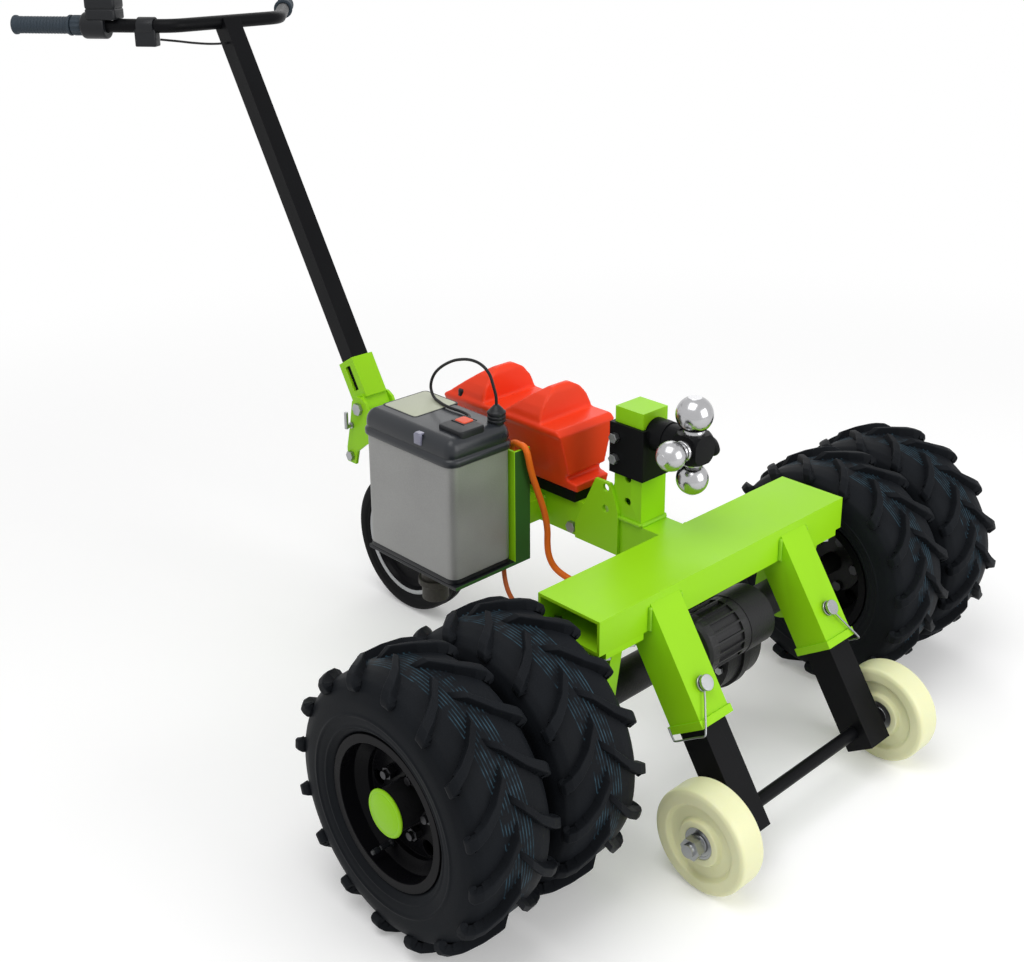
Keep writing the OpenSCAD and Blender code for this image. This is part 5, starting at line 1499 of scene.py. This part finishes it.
@dataclass
class Frame:
    """The green weldment, the axle under it, and every fixed steel piece."""

    steel: tuple = (("cross_plate", 0.0035), ("main_beam", 0.0035), ("gusset_plates", 0.0010),
                    ("hitch_post", 0.0035), ("axle_brackets", 0.0015),
                    ("battery_tray", 0.0012), ("handle_cheeks", 0.0010))
    post: tuple = (-0.114, 0.3885)
    tube_half: float = 0.0305
    gusset_run: tuple = (-0.2235, -0.130)
    gusset_side: tuple = (0.0300, 0.323)
    plate_edge: tuple = (-0.048, 0.0368)
    plate_rise: tuple = (0.3318, 0.3850)
    sleeve_edge: tuple = (0.0768, 0.034)
    sleeve_rise: tuple = (0.3320, 0.3700)
    sleeve_foot: float = 0.3330
    arm_shares: tuple = (0.22, 0.68)
    arm_edges: tuple = (-0.001, 0.041)
    arm_rise: tuple = (0.331, 0.371)
    thin_bead: float = 0.0028
    arm_bead: float = 0.0026
    tray_band: tuple = (-0.0075, 0.0005)
    tray_skin: float = 0.0002
    buffer_reach: float = 0.035

    def welds(self) -> None:
        """Weld beads where plates and tubes meet."""
        half, (middle, foot) = self.tube_half, self.post
        corners = ((-half, -half), (half, -half), (half, half), (-half, half), (-half, -half))
        beads = [weld_bead([(middle + x, y, foot) for x, y in corners])]
        for side in (-1, 1):
            y, z = self.gusset_side
            beads.append(weld_bead([(x, side * y, z) for x in self.gusset_run],
                                   self.thin_bead))
            x, y = self.plate_edge
            beads.append(weld_bead([(x, side * y, z) for z in self.plate_rise]))
            x, reach = self.sleeve_edge
            edges = [side * LEG_MARK[1] - reach, side * LEG_MARK[1] + reach]
            for y in edges:
                beads.append(weld_bead([(x, y, z) for z in self.sleeve_rise]))
            beads.append(weld_bead([(x, y, self.sleeve_foot) for y in edges]))
        low, high = self.arm_rise
        for share in self.arm_shares:
            start = CASE_REAR + share * (CASE_FRONT - CASE_REAR)
            rear, front = (start + edge for edge in self.arm_edges)
            beads.append(weld_bead([(x, -half, z) for x, z in (
                (rear, low), (rear, high), (front, high), (front, low))], self.arm_bead))
        piece("weld_beads", joined(beads), WELD, "frame")

    def tray_faces(self, tray: bpy.types.Object) -> None:
        """Blacken the tray's band, paint shade on its front faces as a dark green, and grey
        the buffer under its foot.

        Args:
            tray: the tray's softened copy.
        """
        low, high = (CASE_LOW + edge for edge in self.tray_band)
        recolour(tray, BLACK_PLASTIC, lambda p: low < p.z < high)
        # Painted shade: the tray's forward faces take the dark green in place of their shade.
        recolour(tray, PAINTED_SHADE_GREEN, lambda p: p.x > TRAY_FRONT - self.tray_skin)
        recolour(tray, BUFFER, lambda p: p.z < low and math.hypot(
            p.x - TRAY_FOOT[0], p.y - TRAY_FOOT[1]) < self.buffer_reach)

    def build(self) -> None:
        """Dress the frame's steel, castings and fasteners."""
        for node, width in self.steel:
            made = softened(node, LIME, width, 3)
            if node == "battery_tray":
                self.tray_faces(made)
        softened("axle_housing", CASTING, 0.0018)
        softened("drive_motor", MOTOR, 0.0006)
        softened("frame_bolts", ZINC, 0.0008)
        softened("castor_mount", BLACK_PAINT, 0.0010)
        self.welds()


# Hitch


@dataclass
class Hitch:
    """The carriage on the post, the turning head with its three balls and its hook."""

    head_half: float = 0.023
    hook_radius: float = 0.0103
    hook_bend: float = 0.024
    hook_turn: float = 78.0
    hook_out: float = 0.003
    ball_out: float = 0.030
    neck_radius: float = 0.012
    flat_share: float = 0.92
    flat_rise: float = 0.0006
    balls: tuple = ((0.0587, "X", 90), (0.0508, "X", -90), (0.0476, "Z", 180))

    def ball(self, across: float) -> Shell:
        """A ball with a flat top on its neck and collar, standing along +Y.

        The ball's outline is (R cos a, out + R sin a) from the neck to the flat.

        Args:
            across: the ball's diameter.

        Returns:
            The closed shell.
        """
        radius = across / 2
        low, high = -math.acos(self.neck_radius / radius), math.asin(self.flat_share)
        round_part = [(radius * math.cos(a), self.ball_out + radius * math.sin(a))
                      for a in np.linspace(low, high, 26)]
        neck = [(0.0168, 0.0), (0.0168, 0.0045), (0.0158, 0.0060), (0.0134, 0.0062),
                (0.0130, 0.0075)]
        reach, top = round_part[-1]
        crown = [(reach * share, top + self.flat_rise) for share in (0.94, 0.5, 0.0)]
        return lathe([(0.0, 0.0)] + neck + round_part + crown, 96, False)

    def hook(self) -> Shell:
        """The hook: straight out of the head, a bend down, and a tapered claw.

        Returns:
            The closed shell.
        """
        reach = self.head_half + self.hook_out
        a = np.radians(np.linspace(0.0, self.hook_turn, 14))
        bend = [(0.0, reach + self.hook_bend * math.sin(t),
                 -self.hook_bend * (1 - math.cos(t))) for t in a]
        path = np.array([(0.0, 0.0, 0.0), (0.0, reach * 0.5, 0.0)] + bend)
        tip = path[-1] + (path[-1] - path[-2]) * 1.6
        path = spline(np.vstack([path, tip]).tolist(), 4)
        size = np.full(len(path), self.hook_radius)
        size[-9:] = self.hook_radius * np.cos(np.linspace(0.15, 1.45, 9))
        return sweep(path, size, 24, (1.0, 0.0, 0.0))

    def build(self) -> None:
        """Dress the carriage, head, hook and balls."""
        softened("hitch_carriage", BLACK_PAINT, 0.0022, 3)
        softened("carriage_bolts", ZINC, 0.0007)
        softened("hitch_head", BLACK_PAINT, 0.0020, 3)
        head = shift(*HEAD)
        balls = [self.ball(across).at(head @ turn(axis, angle)
                                      @ shift(0, self.head_half, 0))
                 for across, axis, angle in self.balls]
        piece("chrome_balls", joined(balls), CHROME, "tri_ball",
              ("hitch_balls",), 40.0)
        piece("hook_claw", self.hook().at(head), BLACK_PAINT, "tri_ball")


# Castor


@dataclass
class Castor:
    """The swivelling rear wheel, its fork and its axle."""

    radius: float = 0.140
    rim_radius: float = 0.107
    half: float = 0.028

    def build(self) -> None:
        """Dress the fork, axle, rim and tyre."""
        softened("castor_fork", BLACK_PAINT, 0.0018, 3)
        softened("castor_axle", ZINC, 0.0008)
        place = shift(*REAR_AXLE)
        tall = self.radius - self.rim_radius
        shares = [(0.003, 0.36), (0.003, 0.42), (0.12, 0.455), (0.16, 0.447), (0.3, 0.495),
                  (0.5, 0.5), (0.7, 0.497), (0.86, 0.45), (0.95, 0.36), (0.99, 0.24),
                  (1.0, 0.10)]
        half = [(self.rim_radius + r * tall, w * 2 * self.half) for r, w in shares]
        grooves = [(self.radius - 0.0002, 0.0046), (self.radius - 0.0028, 0.0040),
                   (self.radius - 0.0028, 0.0022), (self.radius - 0.0002, 0.0016)]
        ring = both_sides(half + grooves)
        piece("castor_tyre", lathe(rounded(ring, *CASTOR_SOFT), 144).at(place),
              REAR_RUBBER, "rear_wheel", ("rear_tyre",), 50.0)
        rim = [(0.1068, 0.0195), (0.1068, 0.0222), (0.1040, 0.0224), (0.0985, 0.0205),
               (0.0940, 0.0120), (0.0890, 0.0078), (0.0600, 0.0088), (0.0300, 0.0110),
               (0.0215, 0.0125), (0.0205, 0.0310), (0.0190, 0.0320), (0.0083, 0.0320)]
        rim = lathe(rounded(both_sides(rim), *RING_SOFT), 128)
        piece("castor_rim", rim.at(place), RIM_BLACK,
              "rear_wheel", ("rear_rim",), 50.0)
        bead = [(0.1067, 0.0205), (0.1067, 0.0232), (0.1030, 0.0236), (0.0990, 0.0222),
                (0.0990, 0.0205)]
        both = joined([lathe(rounded([(r, side * w) for r, w in bead], *BEAD_SOFT), 128)
                       for side in (1, -1)])
        piece("castor_bead_ring", both.at(place), PALE_RING, "rear_wheel")


# Battery


@dataclass
class Battery:
    """The lift-out battery: brushed case, black lid, pale panel, socket and latch."""

    corner: float = 0.016
    over: float = 0.005
    latch_x: float = -0.347
    socket_place: tuple = (-0.305, -0.211)
    socket_long: float = 0.056
    socket_wide: float = 0.052
    socket_rise: float = 0.007
    socket_sunk: float = 0.012
    flap_place: tuple = (-0.009, 0.014)
    lip_reach: float = 0.0135
    band_thick: float = 0.0008
    band_wide: float = 0.0006
    band_out: float = 0.0003
    frame_wide: float = 0.003
    frame_gap: float = 0.0003
    frame_tall: float = 0.003
    frame_corner: float = 0.008

    def layer(self, long: float, wide: float, corner: float, levels: list, z: float,
              out: float = 0.0) -> Shell:
        """A loft over the case's outline.

        Args:
            long: how much longer it is than the case.
            wide: how much wider it is than the case.
            corner: corner radius.
            levels: (inset, z) pairs from one end to the other.
            z: height of the levels' zero.
            out: how far its middle lies further out than the case's.

        Returns:
            The closed shell.
        """
        shell = loft(CASE_FRONT - CASE_REAR + long, CASE_IN - CASE_OUT + wide, corner, levels)
        return shell.at(shift((CASE_REAR + CASE_FRONT) / 2, (CASE_OUT + CASE_IN) / 2 - out,
                              z))

    def lid(self) -> Shell:
        """The bulging lid: a rolled rim, a step and a crown that curves in to its top.

        Returns:
            The closed shell.
        """
        levels = [(0.0065, -0.010), (0.0065, -0.0002), (0.0012, 0.0), (0.0, 0.0022),
                  (0.0, 0.0085), (0.0010, 0.0108), (0.0034, 0.0122), (0.0040, 0.0136),
                  (0.0034, 0.0152), (0.0030, 0.0190), (0.0036, 0.0255), (0.0052, 0.0315),
                  (0.0080, 0.0365), (0.0120, 0.0405), (0.0165, 0.0430), (0.0215, 0.0440)]
        return self.layer(2 * self.over, 2 * self.over, self.corner + self.over, levels,
                          CASE_HIGH)

    def case(self) -> Shell:
        """The case with a soft foot and upright edges.

        Returns:
            The closed shell.
        """
        levels = [(0.0030, 0.0), (0.0009, 0.0009), (0.0, 0.0030), (0.0, 0.2030),
                  (0.0012, 0.2038), (0.0060, 0.2040)]
        return self.layer(0.0, 0.0, self.corner, levels, CASE_LOW)

    def band(self) -> Shell:
        """A black rubber band round the case's foot, thinner on its inner side.

        Returns:
            The closed shell.
        """
        levels = [(0.0020, 0.0004), (0.0003, 0.0012), (0.0, 0.0030), (0.0, 0.0075),
                  (0.0003, 0.0088), (0.0020, 0.0094)]
        return self.layer(2 * self.band_thick, self.band_wide, self.corner
                          + self.band_thick, levels, CASE_LOW, self.band_out)

    def socket(self) -> None:
        """The raised charging socket with its hinged salmon cover in a recess."""
        lid_top = CASE_HIGH + LID_TALL
        x, y = self.socket_place
        box = soft_box(self.socket_long, self.socket_wide, self.socket_sunk
                       + self.socket_rise, 0.006, 0.0025)
        piece("socket_box", box.at(shift(x, y, lid_top - self.socket_sunk)), BLACK_PLASTIC,
              "battery")
        x, y, top = x + self.flap_place[0], y + self.flap_place[1], lid_top + self.socket_rise
        flap = soft_box(0.024, 0.022, 0.004, 0.004, 0.0012)
        piece("socket_flap", flap.at(shift(x, y, top - 0.0022)), SALMON, "battery")
        lip = soft_box(0.030, 0.0022, 0.0016, 0.001, 0.0006)
        lips = [lip.at(shift(x, y + side * self.lip_reach, top - 0.0004))
                for side in (-1, 1)]
        piece("socket_lips", joined(lips), BLACK_PLASTIC, "battery")

    def latch(self) -> None:
        """The small clear latch over the lid's outer edge."""
        hook = soft_box(0.018, 0.0045, 0.018, 0.002, 0.0015).at(
            shift(self.latch_x, CASE_OUT - self.over + 0.0033, CASE_HIGH + 0.020))
        tab = soft_box(0.014, 0.014, 0.0035, 0.003, 0.0012).at(
            shift(self.latch_x, CASE_OUT - self.over + 0.0085, CASE_HIGH + 0.0365))
        piece("lid_latch", joined([hook, tab]), SMOKE, "battery")

    def panel(self) -> None:
        """The pale flat panel on the lid, with a soft edge and a frame round it."""
        low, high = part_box("lid_panel")
        middle, size = middle_of("lid_panel"), high - low
        plate = soft_box(size.x, size.y, size.z, 0.006, 0.0012).at(
            shift(middle.x, middle.y, low.z))
        piece("top_panel", plate, PANEL, "battery", ("lid_panel",))
        outer, inner = (
            plan_loop(size.x + 2 * gap, size.y + 2 * gap, corner) for gap, corner in (
                (self.frame_wide, self.frame_corner), (self.frame_gap, 0.0055)))
        top = high.z - 0.0004
        rings = np.stack([np.column_stack([flat, np.full(len(flat), z)]) for flat, z in (
            (outer, top - self.frame_tall), (outer, top - 0.0006), (outer * 0.985, top),
            (inner, top), (inner, top - self.frame_tall))])
        piece("panel_frame", loop_shell(rings).at(shift(middle.x, middle.y, 0.0)),
              BLACK_PLASTIC, "battery")

    def build(self) -> None:
        """Dress the whole battery."""
        piece("brushed_case", self.case(), SILVER, "battery",
              ("battery_case",))
        piece("foot_band", self.band(), BLACK_PLASTIC, "battery")
        piece("moulded_lid", self.lid(), LID_BLACK, "battery",
              ("battery_lid",), 60.0)
        self.panel()
        self.socket()
        self.latch()


# Control cover


@dataclass
class ControlCover:
    """The red cover over the controller, its knob and its black base."""

    voxel: float = 0.0024
    smooth_turns: int = 6
    smooth_share: float = 0.5
    crisp_angle: float = 75.0
    rim_depth: float = 1e-4
    knob: tuple = (-0.476, -0.058, 0.516)

    def shell(self) -> None:
        """Melt a copy of the CAD cover into one moulded skin with soft edges.

        The copy loses its inner skin, so no thin wall tears, is rebuilt from small cubes of
        space and smoothed a few times, which rounds every edge by about the same radius.
        Its black knob is covered later.
        """
        mesh = frame["nodes"]["controller_cover"].data.copy()
        mesh.name = "cover_skin"
        reworked(mesh, self.outer_skin)
        obj = stand("cover_work", mesh)
        remesh = obj.modifiers.new("melt", "REMESH")
        remesh.mode = "VOXEL"
        remesh.voxel_size = self.voxel
        smooth = obj.modifiers.new("soften", "SMOOTH")
        smooth.iterations = self.smooth_turns
        smooth.factor = self.smooth_share
        graph = bpy.context.evaluated_depsgraph_get()
        done = bpy.data.meshes.new_from_object(obj.evaluated_get(graph))
        bpy.data.objects.remove(obj)
        done.name = "red_cover"
        settle(stand("red_cover", done), RED, "frame",
               ("controller_cover",), self.crisp_angle)

    def outer_skin(self, work: bmesh.types.BMesh) -> None:
        """Keep only the skin that is seen, closed at its foot.

        Args:
            work: the cover's mesh, which is changed.
        """
        low = min(v.co.z for v in work.verts) + self.rim_depth
        rim = [f for f in work.faces if all(v.co.z < low for v in f.verts)]
        bmesh.ops.delete(work, geom=rim, context="FACES")
        todo = [max(work.verts, key=lambda v: abs(v.co.y))]
        reached = set(todo)
        while todo:
            for edge in todo.pop().link_edges:
                fresh = [v for v in edge.verts if v not in reached]
                reached.update(fresh)
                todo.extend(fresh)
        bmesh.ops.delete(work, geom=[v for v in work.verts if v not in reached],
                         context="VERTS")
        bmesh.ops.holes_fill(work, edges=[e for e in work.edges if e.is_boundary], sides=0)

    def build(self) -> None:
        """Dress the cover, base and knob."""
        self.shell()
        softened("controller_base", BLACK_PAINT, 0.0020)
        rings = [(0.0, 0.0), (0.0074, 0.0), (0.0074, 0.0018), (0.0068, 0.0026),
                 (0.0068, 0.0072), (0.0073, 0.0078), (0.0058, 0.0120), (0.0, 0.0128)]
        shell = lathe(rounded(rings, *CAP_SOFT, False), 40, False)
        place = shift(*self.knob) @ turn("X", 90) @ shift(0, -0.0010, 0)
        piece("cover_knob", shell.at(place), BLACK_PLASTIC, "frame")


# Handle


@dataclass
class Handle:
    """The tilting handle: socket, tube, bent bar, grips, control pod and rocker."""

    ring_count: int = 14
    ring_pitch: float = 0.0068
    first_ring: float = 0.011
    rib_long: float = 0.026
    rib_count: int = 12
    rib_high: float = 0.0017
    rib_points: int = 144
    pod_gap: float = 0.013
    pod_long: float = 0.063
    pod_wide: float = 0.050
    collar_share: float = 0.41
    collar_gap: float = 0.0003

    def bar(self) -> None:
        """The handlebar: a straight middle, two bends and two arms in one smooth tube."""
        middle = bar_middle()
        turns = np.radians(np.linspace(0.0, BAR_SWEEP, 9))
        half = [(0.0, 0.0), (0.0, BAR_HALF * 0.5)]
        half += [(-BAR_BEND * (1 - math.cos(a)), BAR_HALF + BAR_BEND * math.sin(a))
                 for a in turns]
        end = math.radians(90 + BAR_SWEEP)
        x, y = half[-1]
        half += [(x + ARM_LONG * share * math.cos(end), y + ARM_LONG * share * math.sin(end))
                 for share in (0.05, 0.35, 0.7, 1.0)]
        flat = np.array([(x, -y) for x, y in reversed(half[1:])] + half)
        path = np.column_stack([flat, np.zeros(len(flat))]) + np.array(middle)
        piece("bent_bar", sweep(path, BAR_RADIUS, 28), BLACK_PAINT, "handle",
              ("handlebar",), 60.0)

    def grip(self, side: int) -> None:
        """A rubber grip with rounded flange, fine rings, a soft waist and a capped end.

        Args:
            side: 1 for the left of the machine, -1 for the right.
        """
        start, end = ARM_LONG - GRIP_LONG, ARM_LONG
        r = GRIP_RADIUS
        rings = [(BAR_BORE, start - 0.0015), (r * 1.19, start - 0.0015),
                 (r * 1.19, start + 0.0035), (r * 0.99, start + 0.0060)]
        for x in start + self.first_ring + np.arange(self.ring_count) * self.ring_pitch:
            rings += [(r * 0.995, x), (r * 0.945, x + 0.0012), (r * 0.945, x + 0.0024),
                      (r * 0.995, x + 0.0036)]
        rings += [(r * 0.99, end - 0.006), (r * 1.11, end - 0.003), (r * 1.11, end + 0.002),
                  (r * 0.95, end + GRIP_CAP), (0.0, end + GRIP_CAP), (0.0, end + 0.0004),
                  (BAR_BORE, end + 0.0004)]
        shell = lathe(rounded(rings, *GRIP_SOFT), 56)
        place = arm_place(side) @ turn("Z", -90)
        if side > 0:
            piece("left_rubber_grip", shell.at(place), GRIP, "handle",
                  ("left_grip",), 50.0)
            return
        rib = start - self.rib_long
        knurl = self.knurled_ring(rib, start - 0.0018)
        piece("right_twist_grip", joined([shell.at(place), knurl.at(arm_place(-1))]), GRIP,
              "throttle", ("twist_grip",), 50.0)

    def knurled_ring(self, low: float, high: float) -> Shell:
        """The twist grip's collar, with rounded ribs along it.

        Its radius at an angle a is the collar's plus a raised cosine of the ribs' number
        times a.

        Args:
            low: where it starts along the arm.
            high: where it ends.

        Returns:
            The closed shell.
        """
        count = self.rib_points
        a = np.linspace(0.0, 2 * math.pi, count, endpoint=False)
        wave = 0.5 + 0.5 * np.cos(self.rib_count * a)
        x = np.array([low, low + 0.0015, low + 0.004, high - 0.004, high - 0.0015, high])
        lift = np.array([0.0, 0.3, 1.0, 1.0, 0.3, 0.0])
        base = np.array([0.0165, 0.0178, 0.0182, 0.0182, 0.0178, 0.0165])
        radius = base[:, None] + self.rib_high * lift[:, None] * wave[None]
        radius = np.vstack([radius, np.full((2, count), BAR_BORE)])
        x = np.repeat(np.append(x, [high, low])[:, None], count, 1)
        return loop_shell(np.stack([x, radius * np.cos(a), radius * np.sin(a)], -1))

    def pod(self) -> None:
        """The control pod: two moulded halves with a seam, a collar, a light and screws."""
        place = arm_place(-1)
        high_x = ARM_LONG - GRIP_LONG - self.rib_long - self.pod_gap
        low_x = high_x - self.pod_long
        mid = (low_x + high_x) / 2
        long, wide = self.pod_long, self.pod_wide
        lower = soft_box(long, wide, 0.021, 0.008, 0.0035).at(shift(mid, 0.0, 0.012))
        upper = soft_box(long, wide, 0.0235, 0.008, 0.0045).at(shift(mid, 0.0, 0.0325))
        seam = soft_box(long - 0.003, wide - 0.003, 0.004, 0.007, 0.0004).at(
            shift(mid, 0.0, 0.031))
        low, high = low_x + long * self.collar_share, high_x + self.pod_gap - self.collar_gap
        rings = [(BAR_BORE, low), (0.0245, low), (0.0260, low + 0.003),
                 (0.0260, high - 0.004), (0.0235, high), (BAR_BORE, high)]
        collar = lathe(rounded(rings, *RING_SOFT), 64).at(turn("Z", -90))
        piece("pod_shell", joined([lower, upper, seam, collar]).at(place), BLACK_PLASTIC,
              "handle", ("control_pod",), 45.0)
        box = soft_box(0.0435, 0.026, 0.034, 0.004, 0.002).at(shift(0.0248, 0, -0.0392))
        strap = lathe(rounded([(BAR_BORE, 0.006), (0.0172, 0.006), (0.0172, 0.040),
                               (BAR_BORE, 0.040)], *BEAD_SOFT), 40).at(turn("Z", -90))
        piece("junction_box", joined([box, strap]).at(place), BLACK_PLASTIC, "handle",
              (), 45.0)
        rings = [(0.0, 0.0), (0.0042, 0.0), (0.0042, 0.0010), (0.0036, 0.0016),
                 (0.0, 0.0018)]
        lamp = lathe(rings, 24, False).at(place @ shift(low_x + 0.012, 0.012, 0.0558)
                                          @ turn("X", 90))
        piece("pod_light", lamp, SALMON, "handle")
        screw = lathe([(0.0, 0.0), (0.0024, 0.0), (0.0020, 0.0008), (0.0, 0.0010)], 16,
                      False)
        screws = [screw.at(place @ shift(mid + x, y, 0.0121) @ turn("X", -90))
                  for x in (-0.024, 0.024) for y in (-0.018, 0.018)]
        piece("pod_screws", joined(screws), ZINC, "handle")

    def build(self) -> None:
        """Dress the handle from its socket to its grips."""
        softened("handle_socket", LIME, 0.0020, 3)
        softened("handle_tube", BLACK_PAINT, 0.0030, 3)
        softened("tilt_pin", ZINC, 0.0007)
        softened("direction_switch", PANEL, 0.0006)
        self.bar()
        self.grip(1)
        self.grip(-1)
        self.pod()


def main() -> None:
    """Dress the tug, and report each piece."""
    logging.basicConfig(level=logging.INFO, format="%(message)s")
    Studio().build()
    Wiring().build()
    for side in (1, -1):
        DriveWheel(side).build()
    for part in (SupportLegs(), Frame(), Hitch(), Castor(), Battery(), ControlCover(),
                 Handle()):
        part.build()


if __name__ == "__main__":
    main()
